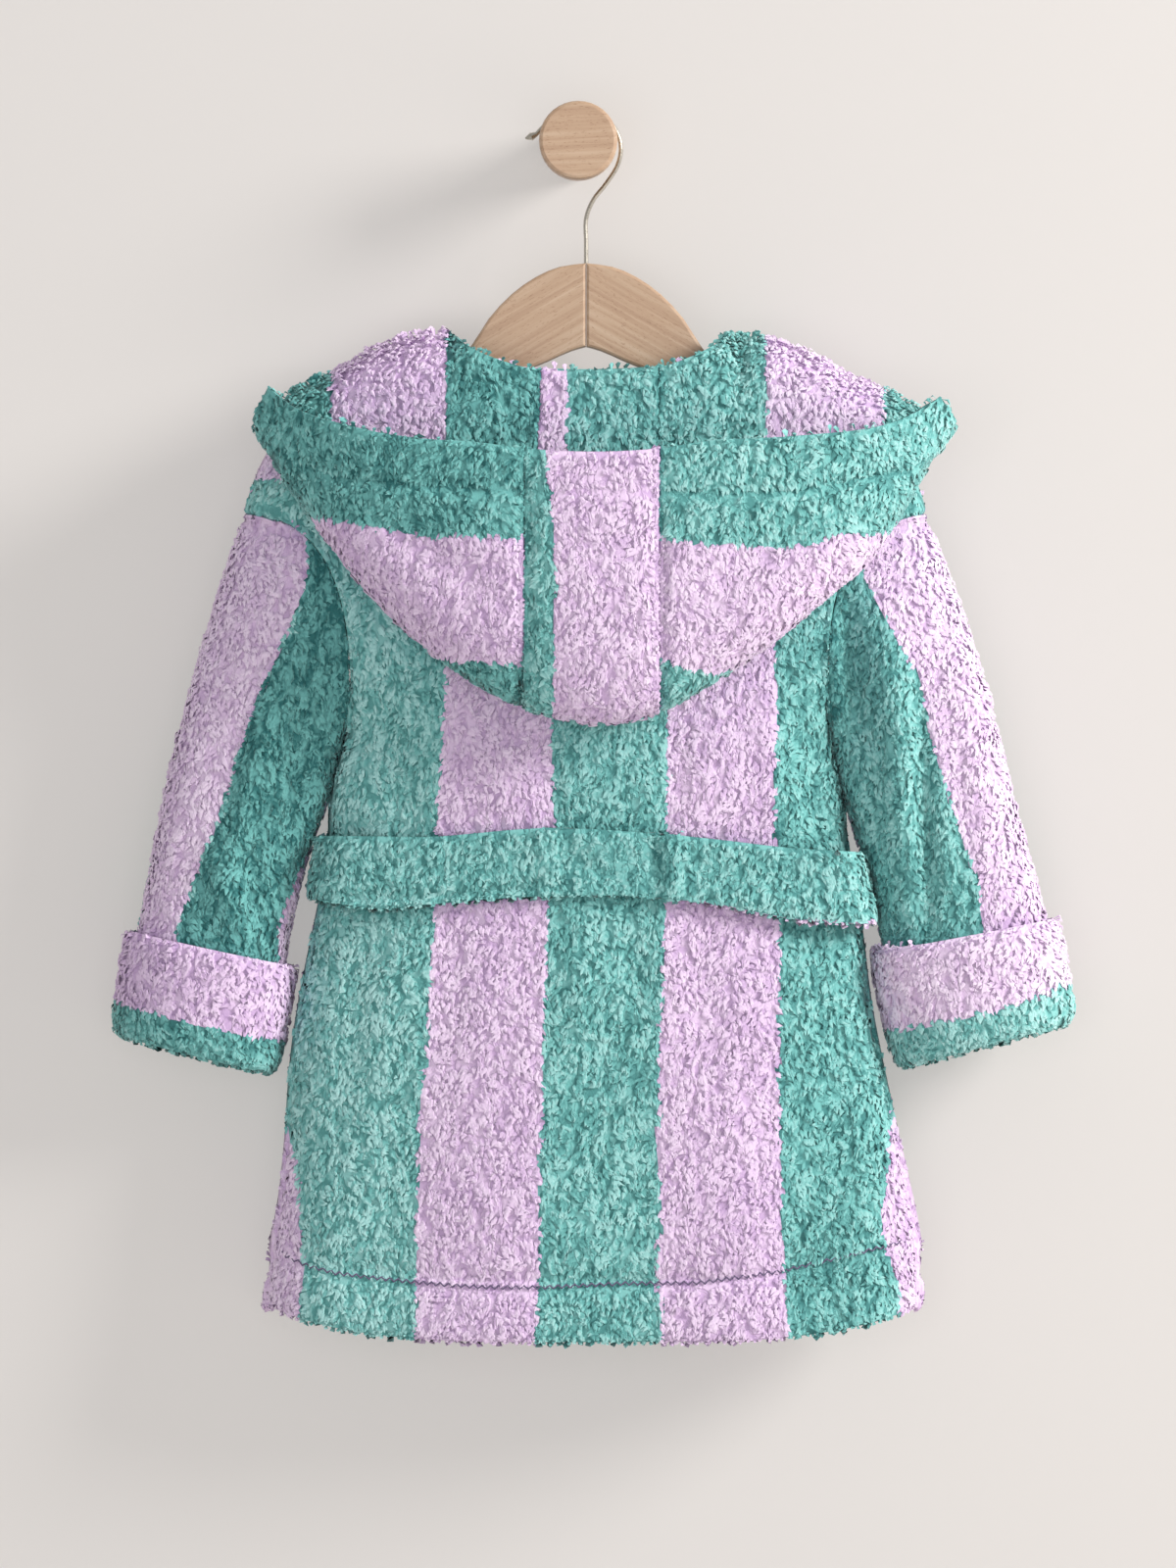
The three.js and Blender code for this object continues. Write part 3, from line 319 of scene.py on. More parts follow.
def on_hood(name, points):
    side = side_of(name)
    x, z = points[:, 0], points[:, 2]
    from_room = (z > edge_at(RIM_STRIPE[side], x)) | (z < edge_at(BAG_STRIPE[side], x))
    low, high = INNER_HOOD_EDGES[side]
    inside = (x < low) | (x > high)
    return np.where(near_wall(points), from_room, inside)


def on_gusset(points):
    near = points[:, 0] < edge_at(GUSSET_EDGE, points[:, 2])
    return np.where(near_wall(points), near, points[:, 0] > -6)


def on_belt(points):
    lilac_foot = (points[:, 0] > 61) & (points[:, 1] < -60)
    return ~(lilac_foot & (points[:, 2] < edge_at(BELT_FOOT, points[:, 0]) + 3))


def is_teal_at(node, points):
    if node == "back":
        shoulder = (points[:, 0] < SHOULDER["x"]) & (points[:, 2] > SHOULDER["z"])
        return down_the_cloth(BACK_EDGES, points) & ~shoulder
    if node.startswith("front"):
        return down_the_cloth(FRONT_EDGES, points)
    if node.startswith("sleeve"):
        return on_sleeve(node, points)
    if node.startswith("cuff"):
        return on_cuff(node, points)
    if node == "hood_centre":
        return on_gusset(points)
    if node.startswith("hood"):
        return on_hood(node, points)
    if node == "belt":
        return on_belt(points)
    return np.ones(len(points), dtype=bool)


print("stripe edges on the back:", len(BACK_EDGES))

# %% [markdown]
# Thick fleece doesn't crease sharply: it bends in soft troughs and ridges. Those that show are listed
# one by one, each as a stroke from one place to another on the cloth, with how wide it is and how far
# it stands out or sinks. The sleeves fold where they hang from the shoulders, the hood has a row of
# stitching under its rim and a groove along each seam, and the belt is gathered at the middle of the
# back. A cloth simulation would lose the garment's measured outline. A stroke reads: (x, z) from,
# (x, z) to, half width, height, and the way that the cloth faces there: -1 is the back, 1 the front,
# -2 the left side and 2 the right side.

# %% Creases
LEFT_SEAM = ((-30, -168), (-30, -338), 3.5, -3.4, -1)
RIGHT_SEAM = ((46, -168), (45, -340), 3.5, -3.4, -1)
CREASES = {
    "sleeve_right": [
        ((154, -262), (160, -345), 6, -7.0, -1), ((176, -262), (188, -380), 11, 4.5, -1),
        ((196, -318), (200, -452), 5, -5.5, -1), ((186, -360), (190, -440), 9, 2.5, -1),
        ((222, -300), (238, -430), 14, 2.5, -1), ((206, -330), (214, -440), 7, 2.2, -1),
        ((175, -300), (190, -440), 9, -3.0, 1), ((205, -280), (226, -430), 13, 2.5, 1),
        ((150, -332), (172, -440), 15, 5.0, -2),
    ],
    "sleeve_left": [
        ((-162, -285), (-188, -368), 10, 4.5, -1), ((-178, -292), (-206, -395), 7, -3.6, -1),
        ((-156, -335), (-170, -430), 7, -4.2, -1), ((-208, -400), (-196, -452), 8, 3.2, -1),
        ((-190, -400), (-184, -450), 7, -2.6, -1), ((-212, -300), (-226, -400), 12, 2.2, -1),
        ((-182, -300), (-200, -440), 10, -3.0, 1), ((-205, -270), (-225, -430), 13, 2.5, 1),
        ((-140, -332), (-162, -430), 15, 4.0, 2),
    ],
    "cuff_right": [((177, -448), (184, -500), 14, 2.5, -2)],
    "back": [
        ((146, -345), (155, -395), 13, 3.0, 2), ((-133, -345), (-143, -395), 13, 3.0, -2),
        ((-110, -330), (-96, -392), 12, -2.6, -1), ((-48, -322), (-40, -388), 10, 1.8, -1),
        ((-20, -340), (-14, -392), 7, -1.8, -1), ((60, -330), (52, -395), 9, -2.0, -1),
        ((108, -320), (118, -395), 10, 2.2, -1), ((135, -345), (136, -400), 7, -2.4, -1),
        ((-70, -446), (-78, -540), 12, -1.8, -1), ((70, -448), (76, -540), 12, -1.8, -1),
        ((-120, -450), (-142, -600), 11, -2.2, -1), ((140, -455), (150, -600), 10, -2.2, -1),
        ((0, -446), (4, -520), 9, 1.6, -1), ((30, -446), (34, -500), 7, -1.6, -1),
    ],
    "front_left": [
        ((-133, -345), (-143, -395), 13, 3.0, -2),
        ((-60, -330), (-70, -400), 12, -2.4, 1), ((-110, -330), (-118, -400), 12, 2.2, 1),
        ((-62, -450), (-70, -610), 12, -2.2, 1), ((-20, -450), (-24, -560), 10, 1.8, 1),
    ],
    "front_right": [
        ((146, -345), (155, -395), 13, 3.0, 2),
        ((70, -330), (64, -400), 12, -2.4, 1), ((112, -330), (120, -400), 12, 2.2, 1),
        ((64, -450), (72, -600), 12, -2.0, 1), ((100, -455), (112, -480), 9, 1.8, 1),
    ],
    "hood_left": [
        ((-160, -186), (-141, -193.8), 2.8, -2.8, -1), ((-141, -193.8), (-101, -198.8), 2.8, -2.8, -1),
        ((-101, -198.8), (-33, -202.2), 2.8, -2.8, -1), ((-150, -214), (-60, -292), 13, 2.6, -1),
        ((-120, -214), (-40, -262), 10, -1.8, -1), LEFT_SEAM,
    ],
    "hood_centre": [LEFT_SEAM, RIGHT_SEAM],
    "hood_right": [
        ((47, -202.7), (85, -204.4), 2.8, -2.8, -1), ((85, -204.4), (129, -202.2), 2.8, -2.8, -1),
        ((129, -202.2), (189, -189.3), 2.8, -2.8, -1), ((165, -212), (90, -288), 13, 2.6, -1),
        ((130, -216), (66, -266), 10, -1.8, -1), RIGHT_SEAM,
    ],
    "belt": [
        ((-146, -434), (-65, -431), 3.4, -3.2, -1), ((-65, -431), (-8, -425), 3.4, -3.2, -1),
        ((-7, -392), (-6, -436), 3.2, -4.0, -1), ((44, -394), (45, -438), 3.2, -4.0, -1),
        ((-16, -396), (-16, -430), 6.5, 2.6, -1), ((54, -398), (54, -434), 6.5, 2.6, -1),
        ((-2, -410), (22, -424), 4.0, -1.8, -1), ((38, -404), (16, -430), 4.0, -1.8, -1),
        ((6, -398), (18, -412), 3.5, 1.2, -1), ((70, -428), (150, -440), 5, 1.6, -1),
    ],
    "belt_knot": [
        ((-16, -408), (24, -438), 4.5, -3.6, 1), ((-18, -430), (2, -446), 4, -2.4, 1),
        ((8, -402), (26, -414), 4, -2.4, 1), ((-10, -402), (22, -424), 5, 1.6, 1),
    ],
    "belt_tail_left": [((-9, -452), (-22, -560), 4, -2.2, 1), ((-20, -500), (-34, -640), 5, 1.6, 1)],
    "belt_tail_right": [((17, -452), (32, -560), 4, -2.2, 1), ((30, -520), (44, -640), 5, 1.6, 1)],
}
STROKE_END = 0.12  # share of a half wave that is left out at each end of a stroke


def crease_heights(strokes, points, normals):
    height = np.zeros(len(points))
    for start, end, half_width, rise, face in strokes:
        a, b = np.array(start, dtype=float), np.array(end, dtype=float)
        flat = points[:, [0, 2]] - a
        share = np.clip(flat @ (b - a) / np.dot(b - a, b - a), 0, 1)
        away = np.linalg.norm(flat - share[:, None] * (b - a), axis=1)
        fade = np.sin(np.pi * (STROKE_END + (1 - 2 * STROKE_END) * share))
        towards = normals[:, 1] * face if abs(face) == 1 else normals[:, 0] * face / 2
        facing = np.clip(towards * 2, 0, 1)
        height += rise * fade * facing * np.exp(-((away / half_width) ** 2))
    return height


print("creases:", sum(len(strokes) for strokes in CREASES.values()))

# %% [markdown]
# The backing of each panel starts from a copy of its wall. Doubles are merged and the triangles are
# joined back to the quads of the pattern, and subdivision rounds the wall's edges as a folded and sewn
# edge is rounded. Then both faces sink by the depth of the pile, and the creases move them out and in
# together. Each panel has painted light and shade of its own on lilac and on teal, and the back is
# painted paler on its left side and darker on its right, to stand in for how the lamps fall on them.

# %% Backing cloth
PILE_DEPTH = 2.2  # mm from the wall's face to the backing
SEAM_REACH = (8, 13)  # mm of cloth behind a face: up to the first it sinks, and from the second it doesn't
PAINTED_PANEL_SHADE = {  # painted light and shade added to the tone on lilac and on teal
    "sleeve_left": (0.2, -0.6), "cuff_left": (-0.35, -0.3), "cuff_right": (0.2, 0.2),
    "hood_left": (-0.2, -0.4), "hood_centre": (-0.1, 0.0), "sleeve_right": (0.0, -0.15),
    "back": (-0.15, 0.0), "belt": (0.0, -0.05),
}
PAINTED_BACK_SIDES = {"from": 60, "over": 60, "left": 0.3, "right": -0.2}  # mm from the middle, and added painted light and shade
BACKING_REACH = 0.42  # painted shade: the backing is coloured as dark as a lock near its middle
SHARP_ANGLE = 0.8  # radians between two faces of a wall's corner
SEAM_CREASE = 0.8  # how much of that corner stays at a seam


def painted_panel_shade(node, points):
    lilac, teal = PAINTED_PANEL_SHADE.get(node, (0.0, 0.0))
    value = np.where(is_teal_at(node, points), teal, lilac)
    if node == "back":
        for side, outwards in (("left", -1), ("right", 1)):
            aside = np.clip((outwards * points[:, 0] - PAINTED_BACK_SIDES["from"]) / PAINTED_BACK_SIDES["over"], 0, 1)
            value += PAINTED_BACK_SIDES[side] * aside
    return value


def read_mesh(mesh):
    """Where each vertex is, in mm, and the way that the cloth faces there."""
    points = np.empty(len(mesh.vertices) * 3)
    mesh.vertices.foreach_get("co", points)
    normals = np.empty(len(mesh.vertices) * 3)
    mesh.vertex_normals.foreach_get("vector", normals)
    return points.reshape(-1, 3) / MM, normals.reshape(-1, 3)


def write_dye_and_painted_shade(mesh, teal, reach, tone):
    layer = mesh.attributes.new("dye_and_painted_shade", "FLOAT_COLOR", "POINT")
    values = np.column_stack([teal, reach, tone, np.ones(len(teal))])
    layer.data.foreach_set("color", values.astype(np.float32).ravel())


def at_free_edge(node, points, normals):
    """Edges that are folded and end in the open. At the others a seam joins the next panel."""
    x, z = points[:, 0], points[:, 2]
    if node.startswith("hood"):
        return ~((np.abs(normals[:, 0]) > 0.5) & (x > -40) & (x < 55))
    if node == "back" or node.startswith("front"):
        neck = (np.abs(x - 4) < 76) & (z > -310) & (normals[:, 2] > 0)
        lap = (np.abs(np.abs(x - 4) - 46) < 6) & (np.abs(normals[:, 0]) > 0.5)
        return (z < -655) | neck | (lap & (node != "back"))
    return np.full(len(points), not node.startswith("sleeve"))


def sinking(node, mesh, points, normals):
    """How far each place sinks: the depth of the pile on both faces, but nothing across a seam."""
    faces = [tuple(face.vertices) for face in mesh.polygons]
    tree = BVHTree.FromPolygons(points.tolist(), faces)
    reach = np.full(len(points), 100.0)
    for i, (point, normal) in enumerate(zip(points, normals)):
        distance = tree.ray_cast(Vector(point - 0.05 * normal), Vector(-normal))[3]
        if distance is not None:
            reach[i] = distance
    across = np.clip((SEAM_REACH[1] - reach) / (SEAM_REACH[1] - SEAM_REACH[0]), 0, 1)
    return PILE_DEPTH * np.where(at_free_edge(node, points, normals), 1.0, across)


def keep_seams_sharp(node, mesh):
    """Folded edges are rounded, but the edges that meet at a seam stay together."""
    shape = bmesh.new()
    shape.from_mesh(mesh)
    layer = shape.edges.layers.float.new("crease_edge")
    for edge in shape.edges:
        if len(edge.link_faces) == 2 and edge.calc_face_angle() > SHARP_ANGLE:
            ends = np.array([vert.co for vert in edge.verts]) / MM
            facing = np.array([vert.normal for vert in edge.verts])
            edge[layer] = 0.0 if at_free_edge(node, ends, facing).any() else SEAM_CREASE
    shape.to_mesh(mesh)
    shape.free()


def backing(node, levels):
    piece = bpy.data.objects.new(f"backing_{node}", frame["nodes"][node].data.copy())
    bpy.context.collection.objects.link(piece)
    bpy.ops.object.select_all(action="DESELECT")
    piece.select_set(True)
    bpy.context.view_layer.objects.active = piece
    bpy.ops.object.mode_set(mode="EDIT")
    bpy.ops.mesh.select_all(action="SELECT")
    bpy.ops.mesh.remove_doubles(threshold=0.01 * MM)
    bpy.ops.mesh.tris_convert_to_quads(face_threshold=1.2, shape_threshold=1.2)
    bpy.ops.object.mode_set(mode="OBJECT")
    keep_seams_sharp(node, piece.data)
    rounding = piece.modifiers.new("rounding", "SUBSURF")
    rounding.levels = rounding.render_levels = levels
    bpy.ops.object.modifier_apply(modifier="rounding")
    mesh = piece.data
    points, normals = read_mesh(mesh)
    inner = crease_heights(CREASES.get(node, ()), points, -normals)
    outer = crease_heights(CREASES.get(node, ()), points, normals)
    moved = points + normals * (outer - inner - sinking(node, mesh, points, normals))[:, None]
    mesh.vertices.foreach_set("co", (moved * MM).ravel())
    # Painted shade: the backing is coloured as dark as the shade among the locks, with each panel's painted
    # light and shade as its tone.
    tone = np.clip(0.5 + painted_panel_shade(node, points), 0, 1)
    write_dye_and_painted_shade(mesh, is_teal_at(node, points), np.full(len(points), BACKING_REACH), tone)
    mesh.materials.clear()
    mesh.materials.append(fleece)
    bpy.ops.object.shade_smooth()
    mesh.update()
    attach(piece, "root")
    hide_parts(node)
    return piece


SLOT_OF = {part["node"]: part["material_slot"] for part in frame["record"]["subparts"]}
CLOTH_NODES = [name for name in frame["nodes"] if SLOT_OF[name].endswith("fleece")]
SHOWN_CLOTH = ("back", "sleeve_left", "sleeve_right", "hood_left", "hood_centre", "hood_right", "belt")
backings = {name: backing(name, 2 if name in SHOWN_CLOTH else 1) for name in CLOTH_NODES}
print("backings:", {name: len(piece.data.polygons) for name, piece in backings.items()})

# %% [markdown]
# The pile is what makes this cloth. Its fibres cling together in curly locks about 3 mm wide and 8 mm
# long, combed mostly downwards by hanging and wearing. The roots are spread evenly over the area of
# the cloth. Each lock joins the nearest clump, 6 to 7 mm across: the locks of one clump lie the same
# way, lean together and stand highest in its middle.

# %% Where locks stand
CLUMP = {"across": 6.5, "reach": 5.0, "gathered": 0.3}  # mm, mm, share of the way to the clump's own tip
PACKING = 0.87  # rows of locks are offset, so one lock takes less than a square of the spacing
COMBED_TO_WALL = 0.25  # on top edges, which have no way down


def waves(points, size, turn):
    """A smooth value from -1 to 1 that changes over the given size in mm."""
    x, y, z = (points / size).T
    first = np.sin(x * 2.1 + 1.7 * np.sin(z * 1.3 + turn) + turn)
    second = np.sin(z * 2.3 + y * 1.9 + 1.9 * np.sin(x * 1.1 - turn))
    return 0.5 * first + 0.5 * second


def unit(v):
    return v / np.maximum(np.linalg.norm(v, axis=-1), 1e-9)[..., None]


def cloth_triangles(piece):
    mesh = piece.data
    mesh.calc_loop_triangles()
    corners = np.empty(len(mesh.loop_triangles) * 3, dtype=np.int32)
    mesh.loop_triangles.foreach_get("vertices", corners)
    corners = corners.reshape(-1, 3)
    points, normals = read_mesh(mesh)
    return points[corners], normals[corners]


def spread_roots(piece, density, spacing, rng):
    """Roots spread evenly by area, the cloth's direction there, and the density that each stands for."""
    points, normals = cloth_triangles(piece)
    across = np.cross(points[:, 1] - points[:, 0], points[:, 2] - points[:, 0])
    area = 0.5 * np.linalg.norm(across, axis=1)
    thickness = density(points.mean(axis=1), normals.mean(axis=1))
    reach = np.cumsum(area * thickness / (PACKING * spacing ** 2))
    marks = np.arange(0.5, reach[-1])
    chosen = np.searchsorted(reach, marks)
    a, b = rng.random(len(marks)), rng.random(len(marks))
    over = a + b > 1
    a[over], b[over] = 1 - a[over], 1 - b[over]
    weights = np.stack([1 - a - b, a, b], axis=1)[:, :, None]
    roots = (points[chosen] * weights).sum(axis=1)
    return roots, unit((normals[chosen] * weights).sum(axis=1)), thickness[chosen]


def nearest_clump(root, spacing, rng):
    share = (spacing / CLUMP["across"]) ** 2
    middles = rng.choice(len(root), max(1, int(len(root) * share)), replace=False)
    finder = KDTree(len(middles))
    for i, middle in enumerate(middles):
        finder.insert(root[middle], i)
    finder.balance()
    return middles[[finder.find(place)[1] for place in root]]


def combed(out, swirl):
    """Downwards along the cloth, turned to one side by the given angle."""
    down = unit(np.array([0.0, 0.0, -1.0]) + out * out[:, [2]] + np.array([0.0, COMBED_TO_WALL, 0.0]))
    down = unit(down - out * (down * out).sum(axis=1)[:, None])
    return down * np.cos(swirl)[:, None] + np.cross(out, down) * np.sin(swirl)[:, None]


print("clumps:", CLUMP["across"], "mm across")

# %% [markdown]
# A particle system would give hairs that the export loses, so each lock is a small closed mesh of six
# faces on five corners: it starts under the backing's face, swells, bends to one side and ends in a
# point. Light scatters among fibres, so a lock is shaded nearly as the cloth faces and not as its own
# small faces do. Only on top edges, where the pile stands up, do its own faces count.

# %% The shape of a lock
ROUNDNESS = 0.25  # how far the sides of a lock turn away from the way that the cloth faces
OWN_FACES = {"most": 0.85, "gain": 1.6}  # share of the lock's own faces where the cloth faces up
LOCK_FACES = np.array([(0, 2, 1), (0, 3, 2), (0, 1, 3), (4, 1, 2), (4, 2, 3), (4, 3, 1)])
UNDERSIDE = [0, 3]
LOCK_REACH = [0.2, 0.45, 0.45, 0.65, 0.95]  # painted shade, how pale each corner is: root, two sides, top and tip
CORNERS = len(LOCK_REACH)


def shading_directions(corners, out, side, away):
    upper = np.stack([out, unit(out - ROUNDNESS * side), unit(out + ROUNDNESS * side), out, out], axis=1)
    facing = upper[:, LOCK_FACES]
    facing[:, UNDERSIDE] = unit(-0.5 * out - away)[:, None, None]
    edges = corners[:, LOCK_FACES]
    own = unit(np.cross(edges[:, :, 1] - edges[:, :, 0], edges[:, :, 2] - edges[:, :, 0]))
    share = OWN_FACES["most"] * np.clip(OWN_FACES["gain"] * out[:, 2], 0, 1)[:, None, None, None]
    return unit((1 - share) * facing + share * own[:, :, None])


def lock_mesh(name, corners, out, side, away):
    """Closed locks as one mesh."""
    faces = (LOCK_FACES[None] + CORNERS * np.arange(len(out))[:, None, None]).reshape(-1, 3)
    mesh = bpy.data.meshes.new(name)
    mesh.from_pydata((corners.reshape(-1, 3) * MM).tolist(), [], faces.tolist())
    mesh.polygons.foreach_set("use_smooth", np.ones(len(mesh.polygons), dtype=bool))
    facing = shading_directions(corners, out, side, away)
    mesh.normals_split_custom_set(facing.reshape(-1, 3).tolist())
    return mesh


print("faces on one lock:", len(LOCK_FACES))

# %% [markdown]
# Past a free edge the locks are shortened, so that the edge stays even. Where another piece lies close
# over the cloth, little light gets in, so the locks there are painted darker: painted shade.

# %% Edges and covered places
EDGE_FUZZ = (0.8, 2.6)  # mm past a free edge from which locks are shorter, and are shortest
COVER_REACH = 16  # mm from a piece that lies over the cloth to where its shade ends
COVERS = {
    "back": ("hood_left", "hood_centre", "hood_right", "belt"),
    "sleeve_left": ("back", "front_left", "belt", "cuff_left"),
    "sleeve_right": ("back", "front_right", "belt", "cuff_right"),
    "front_left": ("belt", "belt_knot", "pocket_left"),
    "front_right": ("belt", "belt_knot", "pocket_right"),
}


def surface_finder(node):
    mesh = backings[node].data
    faces = [tuple(face.vertices) for face in mesh.polygons]
    return BVHTree.FromPolygons([vertex.co.copy() for vertex in mesh.vertices], faces)


def gap_to(nodes, places):
    """How many mm each place is from the nearest of some panels."""
    finders = [surface_finder(node) for node in nodes]
    return np.array([min(finder.find_nearest(Vector(p * MM))[3] for finder in finders) for p in places]) / MM


def overhang(node, places):
    """From 0 on the cloth to 1 for places a few millimetres past its edge."""
    return np.clip((gap_to([node], places) - EDGE_FUZZ[0]) / (EDGE_FUZZ[1] - EDGE_FUZZ[0]), 0, 1)[:, None]


def covered(node, places):
    """From 0 in the open to 1 where another piece lies close over the cloth."""
    if node not in COVERS:
        return np.zeros(len(places))
    return np.clip(1 - gap_to(COVERS[node], places) / COVER_REACH, 0, 1)


print("panels that lie under others:", len(COVERS))

# %% [markdown]
# Each lock takes its length, lift, width, turn and tone from the panel, from its clump and from chance.
# Its colour also carries painted light and shade: the panel's own, and darker where another piece
# covers it or a seam holds it down.
# Where the plan asks for fewer locks they are larger.

# %% Growing locks
LOCK = {"length": 7.5, "width": 2.8, "thick": 0.7, "lift": 1.9}  # mm
SWIRL = {"clump": 0.5, "field": 0.35, "lock": 0.3}  # radians that locks turn from straight down
FIELD = {"turn": 27, "tone": 36}  # mm over which the turn and the tone change along the cloth
TOP_EDGE = {"lift": 1.2, "shorter": 0.45}  # how much more locks lift and how much shorter they are there
HELD_DOWN = {"light": 0.35, "clump": 0.35, "length": 0.3}  # shares that stay where a seam holds the pile: of the painted light, of the clump and of the length
HELD_LIGHT = 0.45  # pile that is held down less than this is painted as light as any
# cover in the tones below is painted shade under a covering piece; the rest is each lock's own tone.
TONES = {"lock": 0.1, "clump": 0.12, "field": 0.12, "cover": 0.55}
# Painted light on each lock: less under a covering piece, and more or less with the panel's painted shade.
LIGHT = {"cover": 0.35, "brushed": 0.5}
BELLY = 0.45  # where along a lock, and along its lift, it is widest
SHORTENED = {"length": 0.35, "lift": 0.8}  # past a free edge


def held(name, full):
    return HELD_DOWN[name] + (1 - HELD_DOWN[name]) * full


def lock_corners(node, root, out, thickness, full, clump, turn, rise, seed, rng):
    """The five corners of every lock, the way that it points, and its side."""
    count = len(root)
    coarse = np.clip(thickness, 0.3, 1) ** -0.5
    swirl = SWIRL["clump"] * turn + SWIRL["field"] * waves(root, FIELD["turn"], seed)
    lie = combed(out, swirl + SWIRL["lock"] * rng.normal(size=count))
    standing = np.clip(out[:, 2], 0, 1)
    crown = np.clip(1 + 0.22 * rise, 0.5, 1.5) * (1 + TOP_EDGE["lift"] * standing) * full
    leaning = combed(out, swirl) * CLUMP["reach"] + out * (LOCK["lift"] * crown)[:, None]
    point = root[clump] + leaning * held("clump", full)[:, None]
    length = LOCK["length"] * coarse * rng.uniform(0.75, 1.15, count) * held("length", full)
    length = length * (1 - TOP_EDGE["shorter"] * standing)
    lift = LOCK["lift"] * crown * rng.uniform(0.6, 1.0, count)
    loose = root + lie * length[:, None] + out * (lift * rng.uniform(0.2, 1.0, count))[:, None]
    gathered = CLUMP["gathered"] * rng.uniform(0.4, 1.3, count)[:, None]
    tip = loose + gathered * (point - loose)
    short = root + SHORTENED["length"] * lie * length[:, None] + out * lift[:, None] * SHORTENED["lift"]
    tip = tip + overhang(node, root + lie * length[:, None]) * (short - tip)
    away = unit(tip - root)
    side = unit(np.cross(out, away))
    half = LOCK["width"] * coarse * rng.uniform(0.4, 0.6, count)
    aside = side * (0.5 * rng.normal(size=count))[:, None]
    belly = root + BELLY * (tip - root) + out * (BELLY * lift)[:, None] + aside
    edge = side * half[:, None]
    top = belly + out * (LOCK["thick"] * coarse)[:, None]
    return np.stack([root - out, belly - edge, belly + edge, top, tip], axis=1), away, side


def grow(name, node, density, spacing, seed, trim=None):
    rng = np.random.default_rng(seed)
    root, out, thickness = spread_roots(backings[node], density, spacing, rng)
    count = len(root)
    full = np.ones(count) if trim is None else trim(root)
    clump = nearest_clump(root, spacing, rng)
    turn, rise, shade = rng.normal(size=(3, count))[:, clump]
    corners, away, side = lock_corners(node, root, out, thickness, full, clump, turn, rise, seed, rng)
    mesh = lock_mesh(name, corners, out, side, away)
    chance = TONES["lock"] * rng.normal(size=count) + TONES["clump"] * shade
    # Painted light and shade: brushed carries each panel's painted shade, and cover darkens the locks under
    # another piece.
    brushed, cover = painted_panel_shade(node, root), covered(node, root)
    field = TONES["field"] * waves(root, FIELD["tone"], seed)
    tone = np.clip(0.5 + brushed + chance + field - TONES["cover"] * cover, 0, 1)
    lit = held("light", np.clip(full / HELD_LIGHT, 0, 1))
    lit = lit * (1 - LIGHT["cover"] * cover) * (1 + LIGHT["brushed"] * brushed)
    teal = is_teal_at(node, (root + corners[:, -1]) / 2)
    write_dye_and_painted_shade(mesh, np.repeat(teal, CORNERS), np.outer(lit, LOCK_REACH).ravel(), np.repeat(tone, CORNERS))
    mesh.materials.append(fleece)
    pile = bpy.data.objects.new(name, mesh)
    bpy.context.collection.objects.link(pile)
    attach(pile, "root")
    return pile


print("a full lock:", LOCK)

# %% [markdown]
# Each panel has its own plan: how thickly the locks stand on what the room sees, on the far side and
# inside, and where a row of stitches or a seam holds them down. The seam of the hem and the topstitch
# under the hood's rim press the pile into a narrow groove, and the shade in that groove is painted
# into the colour of the backing and of the locks there.

# %% Pile on every panel
SHOWN = 2.6  # mm between locks that face the room
HEM_STITCHES = [(-178, -634), (-167, -640), (-157, -644), (-139, -648.5), (-118, -651), (-97, -653),
                (-76, -654.6), (-55, -655.8), (-21, -656), (25, -654), (69, -653.5), (114, -647.4),
                (144, -641), (167, -635.6), (192, -630)]
RIM_STITCHES = [(-170, -180), (-160, -186), (-141, -193.8), (-101, -198.8), (-33, -202.2), (47, -202.7),
                (85, -204.4), (129, -202.2), (174, -193.2), (189, -189.3), (205, -180)]
BELT_SEWN = {"from": -8, "to": 46, "ends": (-7, 44.5)}  # x where the belt is sewn down, and where it starts


def pressed(line, half_width, least):
    def trim(points):
        away = np.abs(points[:, 2] - edge_at(line, points[:, 0]))
        return least + (1 - least) * np.clip(away / half_width, 0, 1) ** 1.5
    return trim


def rim_pressed(points):
    return np.where(near_wall(points), pressed(RIM_STITCHES, 4.5, 0.1)(points), 1.0)


def hood_pressed(*neighbours):
    def trim(points):
        by_seam = 0.15 + 0.85 * np.clip((gap_to(neighbours, points) - 0.5) / 4.5, 0, 1) ** 1.5
        return np.minimum(rim_pressed(points), by_seam)
    return trim


def belt_pressed(points):
    x, at_back = points[:, 0], points[:, 1] < -60
    sewn = (x > BELT_SEWN["from"]) & (x < BELT_SEWN["to"]) & at_back
    from_ends = np.minimum(*(np.abs(x - end) for end in BELT_SEWN["ends"]))
    at_ends = 0.1 + 0.9 * np.clip((from_ends - 0.8) / 3.5, 0, 1)
    return np.minimum(np.where(sewn, 0.5, 1.0), np.where(at_back, at_ends, 1.0))


def weigh(shown, hidden, inside=None):
    """Density by the way that the cloth faces: the room's side, the wall's side, and places of its own."""
    def density(points, normals):
        value = np.where(normals[:, 1] < 0.15, shown, hidden)
        return value if inside is None else inside(points, normals, value)
    return density


def back_inside(points, normals, value):
    neck = (points[:, 2] > -250) & (np.abs(points[:, 0] - 4) < 95)
    hem = points[:, 2] < -660
    inner = normals[:, 1] > 0.1
    under_hood = ~inner & (points[:, 2] > -205) & (np.abs(points[:, 0] - 4) < 150)
    value = np.where(inner, np.where(neck | hem, 0.4, 0.0), value)
    return np.where(under_hood, 0.15, value)


def front_inside(points, normals, value):
    return np.where(normals[:, 1] < -0.1, np.where(points[:, 2] < -660, 0.3, 0.0), 0.5)


